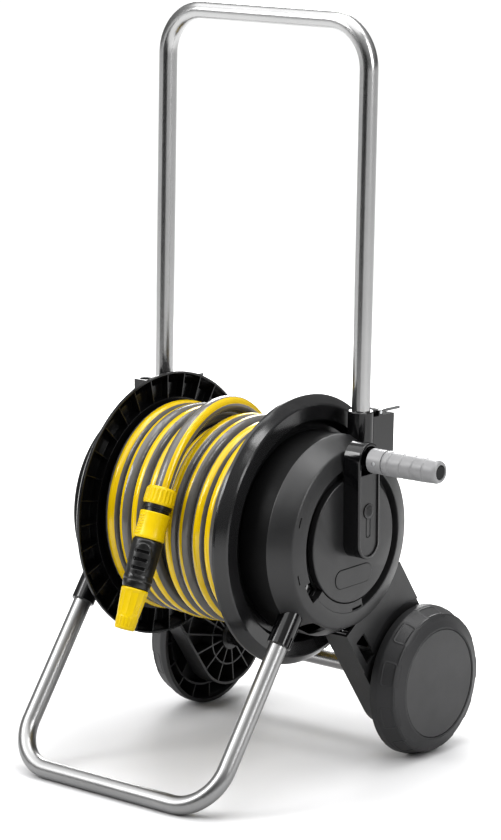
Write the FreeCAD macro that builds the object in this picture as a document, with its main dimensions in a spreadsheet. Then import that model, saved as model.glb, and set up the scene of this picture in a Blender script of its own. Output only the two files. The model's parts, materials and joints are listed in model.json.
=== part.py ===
import FreeCAD, Part
import math
import os
import re

import Sketcher
from FreeCAD import Placement, Rotation, Vector

# Garden hose reel cart, a free-standing two-wheeled trolley.
# +X points to the crank side, -Y to the foot loop, +Z up from the floor.
# The origin lies on the floor, under the middle of the cart's outline.

doc = FreeCAD.newDocument("hose_reel_cart")
sheet = doc.addObject("Spreadsheet::Sheet", "Dim")

DIMENSIONS = (
    # where the main axes lie
    ("mid_x", -47.5, "middle plane of the cart"),
    ("drum_y", 3.4, "drum axis"),
    ("drum_z", 268, "drum axis above the floor"),
    ("axle_y", 130.7, "wheel axle"),
    ("wheel_r", 83.5, "wheel radius, and so the axle's height"),
    # tube frame
    ("tube_d", 20, "outside of every steel tube"),
    ("tube_wall", 1.2, "tube wall"),
    ("tube_x", 140, "centre of each leg from the middle plane"),
    ("tube_bend", 50, "centreline radius of the bends"),
    ("handle_y", 60.4, "top bar of the push handle"),
    ("handle_z", 811, "top bar above the floor"),
    ("handle_lean", 1.55, "lean of the push handle towards the wheels"),
    ("handle_leg", 466, "top bar to the lower end of the legs"),
    ("foot_y", -203.8, "bar of the foot loop"),
    ("foot_angle", 53.9, "slope of the foot legs above the floor"),
    ("foot_leg", 250, "foot bar to the upper end of the legs"),
    # clearances
    ("run_gap", 0.08, "radial gap of a running shaft"),
    ("slide_gap", 0.3, "gap round a part that slides or turns"),
    ("seat_gap", 0.1, "gap round a part that is seated"),
    # moulded side frames
    ("wall", 3, "wall of the mouldings"),
    ("skirt_x", 101, "inner edge of the housing skirt"),
    ("cone_x", 137, "start of the housing cone"),
    ("cone_r", 109.4, "housing radius at the skirt"),
    ("ring_x", 161.7, "outer edge of the ring face"),
    ("ring_r", 97.6, "radius of that edge"),
    ("groove_x", 166.5, "inner lip of the ring face"),
    ("left_lip", 3, "lip round the cover of the flatter left housing"),
    ("groove_r", 77.8, "outer radius of the groove round the disc"),
    ("hub_wall_x", 157.5, "outer face of the wall behind the disc"),
    ("boss_x", 112, "inner end of the bearing boss"),
    ("boss_r", 24, "bearing boss"),
    ("bush_r", 17, "bearing bush outside"),
    ("arm_x", 120, "inner edge of the wheel arm"),
    ("arm_out_x", 152, "outer face of the wheel arm"),
    ("arm_step_x", 150, "outer face of the arm behind the wheel"),
    ("left_arm_x", 110, "inner edge of the left wheel arm"),
    ("arm_r", 57, "half width of the wheel arm"),
    ("arm_top", 97, "start of the arm from the drum axis"),
    ("arm_rib", 2, "ribs inside the arm"),
    ("wheel_clear", 6, "gap between the tyre and the arm's step"),
    ("tower_y", 42, "depth of the block behind the handle socket"),
    ("tower_top", 420, "top of that block below the top bar"),
    ("tower_low", 481, "bottom of that block below the top bar"),
    ("tower_half", 13, "half width of that block"),
    ("frame_screw_r", 2, "screws through that block"),
    # sockets for the tubes
    ("socket_d", 28, "handle socket outside"),
    ("socket_top", 414, "top of the handle socket below the top bar"),
    ("socket_len", 100, "length of the handle socket"),
    ("sleeve_d", 26, "foot socket outside"),
    ("sleeve_low", 193, "lower end of the foot socket from the foot bar"),
    ("sleeve_len", 78, "length of the foot socket"),
    # clamp levers
    ("lever_len", 39, "lever behind its pin"),
    ("lever_wide", 17, "width of the clamp lever"),
    ("lever_thick", 3.2, "thickness of the clamp lever"),
    ("pin_d", 4, "clamp lever pin"),
    ("pin_back", 19, "pin behind the handle tube's axis"),
    ("pin_up", 3.6, "pin above the block"),
    ("barrel_r", 3.4, "barrel of the clamp lever"),
    # drum
    ("flange_r", 147.5, "flange radius"),
    ("flange_in", 94, "inner face of each flange"),
    ("flange_face", 107, "outermost face of each flange"),
    ("flange_plate", 97, "outer face of the flange's middle"),
    ("pocket_r", 118, "inner radius of the ribbed pockets"),
    ("pocket_x", 103.5, "floor of the ribbed pockets"),
    ("rib_count", 32, "radial ribs in a flange"),
    ("rib", 1.6, "rib thickness"),
    ("core_r", 52, "outside of the drum core"),
    ("core_wall", 2.5, "wall of the drum core"),
    ("shaft_r", 14, "hub journals"),
    ("water_r", 8.3, "water bore of the left hub"),
    # crank
    ("disc_r", 68.6, "crank disc"),
    ("disc_x", 167, "outer face of the crank disc"),
    ("disc_back_x", 159.5, "back of the crank disc"),
    ("crank_r", 90, "crank throw"),
    ("crank_w", 18, "half width of the crank arm"),
    ("crank_x", 188, "outer face of the crank arm"),
    ("crank_wall", 3.2, "wall round the crank arm"),
    ("cover_x", 186.4, "outer face of the crank cover"),
    ("fold_x", 202.5, "fold pin of the grip"),
    ("fold_pin_r", 2.2, "fold pin"),
    ("tongue_w", 8, "width of the hinge tongue"),
    ("knuckle_r", 13.3, "grip knuckle"),
    ("knuckle_in", 192, "inner end of the knuckle"),
    ("knuckle_end", 211, "outer end of the knuckle"),
    ("tongue_r", 5.2, "rounded end of the hinge tongue"),
    ("grip_r", 12.6, "grip radius at the knuckle"),
    ("grip_end_r", 11.6, "grip radius at its end"),
    ("grip_end", 281, "outer end of the grip"),
    ("spindle_r", 4, "steel spindle of the grip"),
    ("button_z", 34, "latch button above the drum axis"),
    ("button_r", 8, "latch button"),
    # wheels
    ("wheel_in", 156, "inner edge of the tread"),
    ("wheel_out", 188.5, "outer face of the wheel"),
    ("wheel_inset", 18, "how much nearer to the middle plane the left wheel is"),
    ("tread_flat", 9, "level part of the tread"),
    ("wheel_face_r", 75.5, "radius of the shoulder"),
    ("cap_r", 61, "wheel cap"),
    ("wheel_wall", 3, "walls of the wheel"),
    ("axle_end", 186.6, "right end of the axle tube"),
    # hose and connector
    ("hose_d", 18, "half-inch hose outside"),
    ("coil_r", 116, "outside of the wound hose"),
    ("tail_x", 5, "hose end from the middle plane"),
    ("tail_r", 134.5, "hose end from the drum axis"),
    ("tail_angle", 23.9, "hose end above the drum axis, at the front"),
    ("nut_d", 34.5, "connector nut"),
    ("nut_len", 19.5, "length of the nut"),
    ("nut_in", 12, "end of the hose inside the nut"),
    ("collar_z", 28, "start of the connector collar"),
    ("collar_len", 29.5, "length of the collar"),
    ("nozzle_z", 58, "start of the nozzle"),
    ("nozzle_len", 53, "length of the nozzle body"),
    ("tip_len", 45, "length of the nozzle tip"),
    # water inlet
    ("inlet_x", 176, "elbow of the inlet from the middle plane"),
    ("inlet_r", 10.5, "outside of the elbow"),
    ("stem_end", 128, "inner end of the inlet stem"),
    ("hub_end", 155, "outer end of the left hub"),
    ("inlet_drop", 46, "end of the spigot below the drum axis"),
    ("spigot_r", 8.2, "quick-connect spigot"),
)

for row, (alias, size, note) in enumerate(DIMENSIONS, start=1):
    sheet.set(f"A{row}", note)
    sheet.set(f"B{row}", str(size))
    sheet.setAlias(f"B{row}", alias)
doc.recompute()

ALIASES = {alias for alias, _, _ in DIMENSIONS}
SUBPARTS = []


def formula(text):
    """Write a formula of plain dimension names as an expression of the sheet."""
    return re.sub(r"[a-z_]+", lambda word: f"Dim.{word[0]}" if word[0] in ALIASES else word[0], str(text))


def number(text):
    """Value of a formula with the sheet's present sizes."""
    return float(sheet.evalExpression(formula(text).replace("Dim.", "")))


def bind(thing, **sizes):
    """Bind properties of an object to formulas."""
    for name, text in sizes.items():
        thing.setExpression(name, formula(text))


# Frames in which the pieces are drawn: a point, and a turn about X in degrees.
CART = ("mid_x", "0", "0", "0")
REEL = ("mid_x", "drum_y", "drum_z", "0")
AXLE = ("mid_x", "axle_y", "wheel_r", "0")
HANDLE = ("mid_x", "handle_y", "handle_z", "-handle_lean")
HANDLE_LEG = ("mid_x + tube_x", "handle_y", "handle_z", "-handle_lean")
FOOT = ("mid_x", "foot_y", "tube_d / 2", "foot_angle - 90")
FOOT_LEG = ("mid_x + tube_x", "foot_y", "tube_d / 2", "foot_angle - 90")
ARM_TURN = "atan2(axle_y - drum_y; drum_z - wheel_r)"
ARM_LENGTH = "sqrt((axle_y - drum_y)^2 + (drum_z - wheel_r)^2)"
ARM = ("mid_x", "drum_y", "drum_z", ARM_TURN)
FOLD = ("mid_x + fold_x", "drum_y", "drum_z + crank_r", "0")
HOSE_END = ("mid_x + tail_x", "drum_y - tail_r * cos(tail_angle)",
            "drum_z + tail_r * sin(tail_angle)", "180 - tail_angle")


def seat(thing, frame):
    """Put an object, drawn in a frame's own axes, into that frame."""
    x, y, z, turn = frame
    thing.Placement = Placement(Vector(0, 0, 0), Rotation(Vector(1, 0, 0), 10))
    thing.setExpression("Placement.Base.x", formula(x))
    thing.setExpression("Placement.Base.y", formula(y))
    thing.setExpression("Placement.Base.z", formula(z))
    thing.setExpression("Placement.Rotation.Angle", formula(turn))
    return thing


def framed(thing, frame):
    """Carry a primitive, which keeps its own placement, into a frame."""
    holder = doc.addObject("Part::Compound", f"{thing.Name}_at")
    holder.Links = [thing]
    return seat(holder, frame)


def subpart(name, thing, frame=None):
    """Name a finished piece and seat it in its frame."""
    thing.Label = name
    if frame:
        seat(thing, frame)
    SUBPARTS.append(thing)
    return thing


def helper(kind, name):
    """New document object of a kind."""
    return doc.addObject(kind, name)


def cylinder(name, radius, length, start=("0", "0", "0"), along="X"):
    """Cylinder from a start point along an axis."""
    rod = helper("Part::Cylinder", name)
    bind(rod, Radius=radius, Height=length)
    turns = {"X": Rotation(Vector(0, 1, 0), 90), "Y": Rotation(Vector(1, 0, 0), -90), "Z": Rotation()}
    rod.Placement = Placement(Vector(0, 0, 0), turns[along])
    for letter, text in zip("xyz", start):
        rod.setExpression(f"Placement.Base.{letter}", formula(text))
    return rod


def box(name, low, high):
    """Box between two corners."""
    block = helper("Part::Box", name)
    for letter, side, near, far in zip("xyz", ("Length", "Width", "Height"), low, high):
        block.setExpression(f"Placement.Base.{letter}", formula(near))
        block.setExpression(side, formula(f"({far}) - ({near})"))
    return block


def fuse(name, *things):
    """Join solids into one."""
    joined = helper("Part::MultiFuse", name)
    joined.Shapes = list(things)
    return joined


def cut(name, base, *tools):
    """Cut solids out of a base."""
    tool = tools[0] if len(tools) == 1 else fuse(f"{name}_tools", *tools)
    left = helper("Part::Cut", name)
    left.Base = base
    left.Tool = tool
    return left


def common(name, first, second):
    """The part that two solids share."""
    shared = helper("Part::Common", name)
    shared.Base = first
    shared.Tool = second
    return shared


def sketch_on(body, role, name, offset=None):
    """Sketch on one of the body's own origin planes, moved along its normal by an offset."""
    plane = next(item for item in body.Origin.OriginFeatures if item.Role == role)
    sketch = body.newObject("Sketcher::SketchObject", name)
    sketch.AttachmentSupport = [(plane, "")]
    sketch.MapMode = "FlatFace"
    if offset:
        sketch.setExpression("AttachmentOffset.Base.z", formula(offset))
    return sketch


def outline(sketch, points):
    """Closed polygon whose corners are tied to formulas."""
    corners = [Vector(number(across), number(up), 0) for across, up in points]
    first = sketch.GeometryCount
    count = len(corners)
    for i in range(count):
        sketch.addGeometry(Part.LineSegment(corners[i], corners[(i + 1) % count]), False)
    for i in range(count):
        sketch.addConstraint(Sketcher.Constraint("Coincident", first + i, 2, first + (i + 1) % count, 1))
    for i, texts in enumerate(points):
        for kind, text, value in zip(("DistanceX", "DistanceY"), texts, corners[i]):
            index = sketch.addConstraint(Sketcher.Constraint(kind, -1, 1, first + i, 1, value))
            sketch.setExpression(f"Constraints[{index}]", formula(text))


def ring(sketch, across, up, radius):
    """Circle whose centre and radius are tied to formulas."""
    centre = Vector(number(across), number(up), 0)
    circle = sketch.addGeometry(Part.Circle(centre, Vector(0, 0, 1), number(radius)), False)
    for kind, text, value in zip(("DistanceX", "DistanceY"), (across, up), centre):
        index = sketch.addConstraint(Sketcher.Constraint(kind, -1, 1, circle, 3, value))
        sketch.setExpression(f"Constraints[{index}]", formula(text))
    index = sketch.addConstraint(Sketcher.Constraint("Radius", circle, number(radius)))
    sketch.setExpression(f"Constraints[{index}]", formula(radius))


def turned(name, points, along="X", angle=360):
    """Solid of revolution from (along the axis, radius) corners."""
    body = helper("PartDesign::Body", name)
    if along == "X":
        sketch = sketch_on(body, "XY_Plane", f"{name}_profile")
        outline(sketch, points)
        axis = "H_Axis"
    else:
        sketch = sketch_on(body, "XZ_Plane", f"{name}_profile")
        outline(sketch, [(radius, height) for height, radius in points])
        axis = "V_Axis"
    spin = body.newObject("PartDesign::Revolution", f"{name}_turn")
    spin.Profile = sketch
    spin.ReferenceAxis = (sketch, [axis])
    spin.Angle = angle
    sketch.Visibility = False
    return body


def rounded(body, *edges):
    """Fillet circular edges, each given as (along X, radius, fillet)."""
    for number_of, (along, radius, size) in enumerate(edges):
        doc.recompute()
        base = body.Tip
        names = [
            f"Edge{i}" for i, edge in enumerate(base.Shape.Edges, start=1)
            if isinstance(edge.Curve, Part.Circle)
            and abs(edge.Curve.Center.x - number(along)) < 0.01
            and abs(edge.Curve.Radius - number(radius)) < 0.01
            and abs(edge.Curve.Axis.x) > 0.99
        ]
        if not names:
            raise RuntimeError(f"{body.Name}: no edge at {along}, {radius}")
        round_off = body.newObject("PartDesign::Fillet", f"{body.Name}_round_{number_of}")
        round_off.Base = (base, names)
        bind(round_off, Radius=size)
    return body


def padded(body, sketch, name, length, both_ways=False):
    """Pad a sketch of a body."""
    pad = body.newObject("PartDesign::Pad", name)
    pad.Profile = sketch
    bind(pad, Length=length)
    if both_ways:
        pad.Midplane = True
    sketch.Visibility = False
    return pad


def pocketed(body, sketch, name, length, towards_plus=False, both_ways=False):
    """Pocket a sketch of a body, and check that it took material away."""
    doc.recompute()
    before = body.Shape.Volume
    pocket = body.newObject("PartDesign::Pocket", name)
    pocket.Profile = sketch
    bind(pocket, Length=length)
    pocket.Reversed = towards_plus
    pocket.Midplane = both_ways
    sketch.Visibility = False
    doc.recompute()
    if not body.Shape.Volume < before - 1:
        raise RuntimeError(f"{name} cuts nothing")
    return pocket


def around_x(body, features, name, count):
    """Repeat features evenly about the body's X axis."""
    pattern = body.newObject("PartDesign::PolarPattern", name)
    axis = next(item for item in body.Origin.OriginFeatures if item.Role == "X_Axis")
    pattern.Originals = features
    pattern.Axis = (axis, [""])
    pattern.Angle = 360
    bind(pattern, Occurrences=count)
    body.Tip = pattern
    return pattern


def other_side(name, source, plane="mid_x"):
    """Mirror image of a right-hand piece, for the left."""
    image = helper("Part::Mirroring", name)
    image.Source = source
    image.Normal = (1, 0, 0)
    image.setExpression("Base.x", formula(plane))
    image.Label = name
    SUBPARTS.append(image)
    return image


def capsule(sketch, across, low, high, radius):
    """Upright capsule between two arc centres, tied to formulas."""
    x, bottom, top, r = number(across), number(low), number(high), number(radius)
    first = sketch.GeometryCount
    normal = Vector(0, 0, 1)
    upper = Part.ArcOfCircle(Part.Circle(Vector(x, top, 0), normal, r), 0, math.pi)
    lower = Part.ArcOfCircle(Part.Circle(Vector(x, bottom, 0), normal, r), math.pi, 2 * math.pi)
    sketch.addGeometry(upper, False)
    sketch.addGeometry(Part.LineSegment(Vector(x - r, top, 0), Vector(x - r, bottom, 0)), False)
    sketch.addGeometry(lower, False)
    sketch.addGeometry(Part.LineSegment(Vector(x + r, bottom, 0), Vector(x + r, top, 0)), False)
    for i in range(4):
        sketch.addConstraint(Sketcher.Constraint("Tangent", first + i, 2, first + (i + 1) % 4, 1))
    sketch.addConstraint(Sketcher.Constraint("Vertical", first + 1))
    for kind, geometry, text in (("DistanceX", first, across), ("DistanceY", first, high),
                                 ("DistanceY", first + 2, low)):
        index = sketch.addConstraint(Sketcher.Constraint(kind, -1, 1, geometry, 3, number(text)))
        sketch.setExpression(f"Constraints[{index}]", formula(text))
    index = sketch.addConstraint(Sketcher.Constraint("Radius", first, r))
    sketch.setExpression(f"Constraints[{index}]", formula(radius))


# ---------------------------------------------------------------- tube frame

def bent_tube(name, leg, closed_end_up, frame):
    """U of steel tube: two legs, two bends and a straight bar on the frame's X axis."""
    body = helper("PartDesign::Body", name)
    path = sketch_on(body, "XZ_Plane", f"{name}_path")
    half, bend = number("tube_x"), number("tube_bend")
    down = -1 if closed_end_up else 1
    foot = down * number(leg)
    near = down * bend
    normal = Vector(0, 0, 1)
    left_circle = Part.Circle(Vector(bend - half, near, 0), normal, bend)
    right_circle = Part.Circle(Vector(half - bend, near, 0), normal, bend)
    if closed_end_up:
        left_arc = Part.ArcOfCircle(left_circle, math.pi / 2, math.pi)
        right_arc = Part.ArcOfCircle(right_circle, 0, math.pi / 2)
    else:
        left_arc = Part.ArcOfCircle(left_circle, math.pi, 3 * math.pi / 2)
        right_arc = Part.ArcOfCircle(right_circle, 3 * math.pi / 2, 2 * math.pi)
    path.addGeometry(Part.LineSegment(Vector(-half, foot, 0), Vector(-half, near, 0)), False)
    path.addGeometry(left_arc, False)
    path.addGeometry(Part.LineSegment(Vector(bend - half, 0, 0), Vector(half - bend, 0, 0)), False)
    path.addGeometry(right_arc, False)
    path.addGeometry(Part.LineSegment(Vector(half, near, 0), Vector(half, foot, 0)), False)
    arc_ends = ((2, 1), (1, 2)) if closed_end_up else ((1, 2), (2, 1))
    path.addConstraint(Sketcher.Constraint("Tangent", 0, 2, 1, arc_ends[0][0]))
    path.addConstraint(Sketcher.Constraint("Tangent", 1, arc_ends[0][1], 2, 1))
    path.addConstraint(Sketcher.Constraint("Tangent", 2, 2, 3, arc_ends[0][0]))
    path.addConstraint(Sketcher.Constraint("Tangent", 3, arc_ends[0][1], 4, 1))
    path.addConstraint(Sketcher.Constraint("Horizontal", 2))
    path.addConstraint(Sketcher.Constraint("Vertical", 0))
    path.addConstraint(Sketcher.Constraint("Equal", 1, 3))
    path.addConstraint(Sketcher.Constraint("PointOnObject", 2, 1, -1))
    sign = "-1 * " if closed_end_up else ""
    ties = (("DistanceX", 0, 1, "-1 * tube_x"), ("DistanceY", 0, 1, f"{sign}{leg}"),
            ("DistanceX", 4, 2, "tube_x"), ("DistanceY", 4, 2, f"{sign}{leg}"))
    for kind, line, end, text in ties:
        index = path.addConstraint(Sketcher.Constraint(kind, -1, 1, line, end, number(text)))
        path.setExpression(f"Constraints[{index}]", formula(text))
    index = path.addConstraint(Sketcher.Constraint("Radius", 1, bend))
    path.setExpression(f"Constraints[{index}]", formula("tube_bend"))
    section = sketch_on(body, "XY_Plane", f"{name}_section", f"{sign}{leg}")
    ring(section, "-1 * tube_x", "0", "tube_d / 2")
    ring(section, "-1 * tube_x", "0", "tube_d / 2 - tube_wall")
    pipe = body.newObject("PartDesign::AdditivePipe", f"{name}_pipe")
    pipe.Profile = section
    pipe.Spine = path
    return subpart(name, body, frame)


bent_tube("push_handle_tube", "handle_leg", True, HANDLE)
bent_tube("foot_tube", "foot_leg", False, FOOT)


glide_bore = "tube_d / 2 - tube_wall - seat_gap"
glide_rim = "tube_d / 2 - 0.6"
glide = turned("glide", (
    ("-handle_leg - 4", "0"), ("-handle_leg - 4", glide_rim), ("-handle_leg - seat_gap", glide_rim),
    ("-handle_leg - seat_gap", glide_bore), ("-handle_leg + 18", glide_bore), ("-handle_leg + 18", "0")), "Z")
seat(glide, HANDLE_LEG)


def pair(name, source, plane="mid_x"):
    """One node that holds a right-hand piece and its mirror image."""
    twin = helper("Part::Mirroring", f"{name}_twin")
    twin.Source = source
    twin.Normal = (1, 0, 0)
    twin.setExpression("Base.x", formula(plane))
    both = helper("Part::Compound", name)
    both.Links = [source, twin]
    return subpart(name, both)


pair("handle_end_glides", glide)

# The wheels are mirrored about their own plane, because the left one is nearer to the middle.
WHEEL_PLANE = "mid_x + wheel_inset / 2"
axle_left = "wheel_inset - axle_end"
axle = cut("axle_tube", cylinder("axle_rod", "tube_d / 2", f"axle_end - ({axle_left})", (axle_left, "0", "0")),
           cylinder("axle_hole", "tube_d / 2 - tube_wall", "2 * axle_end", (f"{axle_left} - 1", "0", "0")))
subpart("axle_tube", axle, AXLE)

clip = cut("clip", cylinder("clip_disc", "15", "0.8", ("wheel_out - 2.8", "0", "0")),
           cylinder("clip_hole", "tube_d / 2 + 0.02", "2", ("wheel_out - 3.4", "0", "0")))
seat(clip, AXLE)
pair("axle_retaining_clips", clip, WHEEL_PLANE)


# ---------------------------------------------------------------- side frames

# Screws of the handle socket, below the top of the block that holds it.
FRAME_SCREW_DROPS = (20, 44)


def sector(name, near, far, low, high, start, sweep):
    """Block between two X stations and two radii round the drum axis, over an angle from +Y."""
    block = turned(name, ((near, low), (far, low), (far, high), (near, high)), "X", sweep)
    return seat(block, (*REEL[:3], str(start)))


def left_housing():
    """Flatter housing of the left side, with its bearing boss, drawn about the drum axis."""
    lip_x = "hub_wall_x + left_lip"
    body = turned("left_housing", (
        ("skirt_x", "cone_r"), ("cone_x", "cone_r"), (lip_x, "groove_r + left_lip"), (lip_x, "groove_r + 1"),
        ("hub_wall_x", "groove_r"), ("hub_wall_x", "bush_r"), ("boss_x", "bush_r"), ("boss_x", "boss_r"),
        ("hub_wall_x - wall", "boss_r"), ("hub_wall_x - wall", "groove_r + wall"),
        ("cone_x - 1", "cone_r - wall"), ("skirt_x", "cone_r - wall")))
    rounded(body, ("cone_x", "cone_r", 3), (lip_x, "groove_r + left_lip", 1))
    return seat(body, REEL)


def ring_housing():
    """Dished ring round the crank disc, with its bearing boss, drawn about the drum axis."""
    body = turned("housing", (
        ("skirt_x", "cone_r"), ("cone_x", "cone_r"), ("ring_x", "ring_r"), ("groove_x", "groove_r + 1.7"),
        ("hub_wall_x", "groove_r"), ("hub_wall_x", "bush_r"), ("boss_x", "bush_r"), ("boss_x", "boss_r"),
        ("hub_wall_x - wall", "boss_r"), ("hub_wall_x - wall", "groove_r + wall"),
        ("groove_x - 4", "groove_r + wall + 1.7"), ("ring_x - wall", "ring_r - 2.6"),
        ("cone_x - 1", "cone_r - wall"), ("skirt_x", "cone_r - wall")))
    rounded(body, ("cone_x", "cone_r", 3), ("ring_x", "ring_r", 4), ("groove_x", "groove_r + 1.7", 1))
    seat(body, REEL)
    panel = sector("groove_panel", "hub_wall_x - 1", "groove_x - 0.6", "disc_r + 0.9", "groove_r + 2", -138, 61)
    return body, panel


def arm_hull(name, half, top, near, far):
    """Band from the housing to the axle with a round end, between two X stations."""
    band = box(f"{name}_band", (near, f"-({half})", f"-({ARM_LENGTH})"), (far, half, f"-({top})"))
    end = cylinder(f"{name}_end", half, f"({far}) - ({near})", (near, "0", f"-({ARM_LENGTH})"))
    return fuse(name, band, end)


def wheel_arm(name, near, step_x, far):
    """Hollow arm down to the axle, open on the drum side, with fanned ribs inside."""
    step_r = "wheel_r + wheel_clear"
    step = cylinder(f"{name}_step", step_r, far, (step_x, "0", f"-({ARM_LENGTH})"))
    outside = cut(f"{name}_outside", arm_hull(f"{name}_hull", "arm_r", "arm_top", near, far), step)
    back = cylinder(f"{name}_step_back", f"{step_r} + wall", far, (f"{step_x} - wall", "0", f"-({ARM_LENGTH})"))
    inner = arm_hull(f"{name}_void", "arm_r - wall", "arm_top - 1", f"{near} - 1", f"{far} - wall")
    inside = cut(f"{name}_inside", inner, back)
    shell = cut(f"{name}_shell", outside, inside)
    centre = (f"{near} + 1", "0", f"-({ARM_LENGTH})")
    depth = f"{step_x} - ({near})"
    ribs = []
    for i, angle in enumerate((-150, -120, -90, -64, -42, -22, -7, 7, 22, 42, 64, 90, 120, 150, 180)):
        rib = box(f"{name}_rib_{i}", ("0", "-arm_rib / 2", "14"), (depth, "arm_rib / 2", "150"))
        holder = helper("Part::Compound", f"{name}_rib_{i}_at")
        holder.Links = [rib]
        holder.Placement = Placement(Vector(0, 0, 0), Rotation(Vector(1, 0, 0), angle))
        for letter, text in zip("xyz", centre):
            holder.setExpression(f"Placement.Base.{letter}", formula(text))
        ribs.append(holder)
    for i, radius in enumerate((34, 78, 110)):
        rim = cut(f"{name}_arc_{i}", cylinder(f"{name}_arc_out_{i}", str(radius), depth, centre),
                  cylinder(f"{name}_arc_in_{i}", f"{radius} - arm_rib", step_x, (near, *centre[1:])))
        ribs.append(rim)
    limit = arm_hull(f"{name}_fan_limit", "arm_r - 1", "arm_top", near, f"{step_x} - 1")
    fan = common(f"{name}_fan", fuse(f"{name}_ribs", *ribs), limit)
    boss = cylinder(f"{name}_boss", "16", depth, (near, "0", f"-({ARM_LENGTH})"))
    window = box(f"{name}_window", (f"{near} - 1", "8 - arm_r", "-152"), (f"{far} + 1", "24 - arm_r", "-116"))
    whole = cut(name, fuse(f"{name}_built", shell, fan, boss), window)
    return seat(whole, ARM)


def handle_tower():
    """Block behind the handle socket, with ears for the clamp lever."""
    low_x, high_x = "tube_x - tower_half", "tube_x + tower_half"
    block = box("tower_block", (low_x, "0", "-tower_low"), (high_x, "tower_y", "-tower_top"))
    hollow = box("tower_hollow", (f"{low_x} - 1", "socket_d / 2 + 6", "wall - tower_low"),
                 (f"{high_x} - wall", "tower_y - wall", "-wall - tower_top"))
    ears = []
    for i, (near, far) in enumerate((("-tower_half", "-lever_wide / 2 - slide_gap"),
                                     ("lever_wide / 2 + slide_gap", "tower_half"))):
        low = (f"tube_x + ({near})", "pin_back - 4", "-tower_top - 1")
        high = (f"tube_x + ({far})", "pin_back + 4", "pin_up + 2.6 - tower_top")
        ears.append(box(f"tower_ear_{i}", low, high))
    bore = cylinder("ear_bore", "pin_d / 2 + seat_gap", "2 * tower_half + 2",
                    (f"{low_x} - 1", "pin_back", "pin_up - tower_top"))
    whole = cut("handle_tower", fuse("tower_built", block, *ears), hollow, bore)
    return seat(whole, HANDLE)


def screw_ways():
    """Bores for the two screws that hold the handle socket, through the block and the ring behind it."""
    bores = [
        cylinder(f"screw_way_{i}", "frame_screw_r + 0.2", "tower_y", ("tube_x", "1", f"-tower_top - {drop}"), "Y")
        for i, drop in enumerate(FRAME_SCREW_DROPS)
    ]
    return seat(fuse("screw_ways", *bores), HANDLE)


def tube_bores():
    """Bores that hold the handle socket, the foot socket and the axle tube."""
    handle = cylinder("handle_socket_bore", "socket_d / 2 + seat_gap", "socket_len + 1",
                      ("tube_x", "0", "-socket_top - socket_len"), "Z")
    foot = cylinder("foot_socket_bore", "sleeve_d / 2 + seat_gap", "sleeve_len + 1",
                    ("tube_x", "0", "sleeve_low"), "Z")
    axle_bore = cylinder("axle_bore", "tube_d / 2 + seat_gap", "60", ("left_arm_x - 1", "0", "0"))
    return framed(handle, HANDLE), framed(foot, FOOT), framed(axle_bore, AXLE)


def oval_drain():
    """Oval hole through the lower front of the housing cone."""
    body = helper("PartDesign::Body", "oval_drain")
    sketch = sketch_on(body, "YZ_Plane", "oval_sketch", "cone_x - 12")
    capsule(sketch, "0", "-9", "9", "5")
    padded(body, sketch, "oval_pad", "40")
    return seat(body, ("mid_x", "drum_y - 48", "drum_z - 91", "62"))


def shaft_way():
    """Bore through the frame for the bearing bush."""
    return framed(cylinder("frame_shaft_way", "bush_r", "80", ("boss_x - 2", "0", "0")), REEL)


def left_frame():
    """Left side frame, drawn on the right: flatter than the crank side, with its wheel nearer."""
    step_x = "wheel_in - wheel_inset - wheel_clear"
    arm = wheel_arm("left_arm", "left_arm_x", step_x, f"{step_x} + 2")
    solid = fuse("left_frame_solid", left_housing(), arm, handle_tower())
    return cut("left_frame", solid, *tube_bores(), screw_ways(), oval_drain(), shaft_way())


def side_frame():
    """Right side frame: housing, wheel arm and handle block in one moulding."""
    housing, panel = ring_housing()
    arm = wheel_arm("right_arm", "arm_x", "arm_step_x", "arm_out_x")
    solid = fuse("frame_solid", housing, panel, arm, handle_tower())
    window = sector("sleeve_window", "hub_wall_x - wall - 1", "groove_x + 2", "disc_r + 0.6", "groove_r + 9", -156, 17)
    drain = sector("groove_drain", "hub_wall_x + 1", "groove_x + 1", "groove_r - 1.6", "groove_r + 1", -90, 12)
    slots = [sector(f"ring_slot_{i}", "ring_x", "ring_x + 4", "ring_r - 6", "ring_r - 4.6", start, 7)
             for i, start in enumerate((155, -166))]
    return cut("side_frame", solid, *tube_bores(), screw_ways(), window, drain, *slots, oval_drain(), shaft_way())


subpart("side_frame_right", side_frame())
other_side("side_frame_left", left_frame())

socket_bore = "tube_d / 2 + slide_gap"
socket = turned("handle_socket", (
    ("-socket_top", socket_bore), ("-socket_top", "socket_d / 2 - 1"), ("-socket_top - 1", "socket_d / 2"),
    ("-socket_top - socket_len", "socket_d / 2"), ("-socket_top - socket_len", socket_bore)), "Z")
subpart("handle_socket_right", socket, HANDLE_LEG)
other_side("handle_socket_left", socket)

sleeve_bore = "tube_d / 2 + seat_gap"
sleeve = turned("foot_sleeve", (
    ("sleeve_low", sleeve_bore), ("sleeve_low", "sleeve_d / 2 - 0.8"), ("sleeve_low + 0.8", "sleeve_d / 2"),
    ("sleeve_low + sleeve_len", "sleeve_d / 2"), ("sleeve_low + sleeve_len", sleeve_bore)), "Z")
slit = box("sleeve_slit", ("0", "-1", "sleeve_low - 1"), ("sleeve_d", "1", "sleeve_low + 12"))
foot_socket = cut("foot_socket", sleeve, slit)
subpart("foot_socket_right", foot_socket, FOOT_LEG)
other_side("foot_socket_left", foot_socket)

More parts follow.
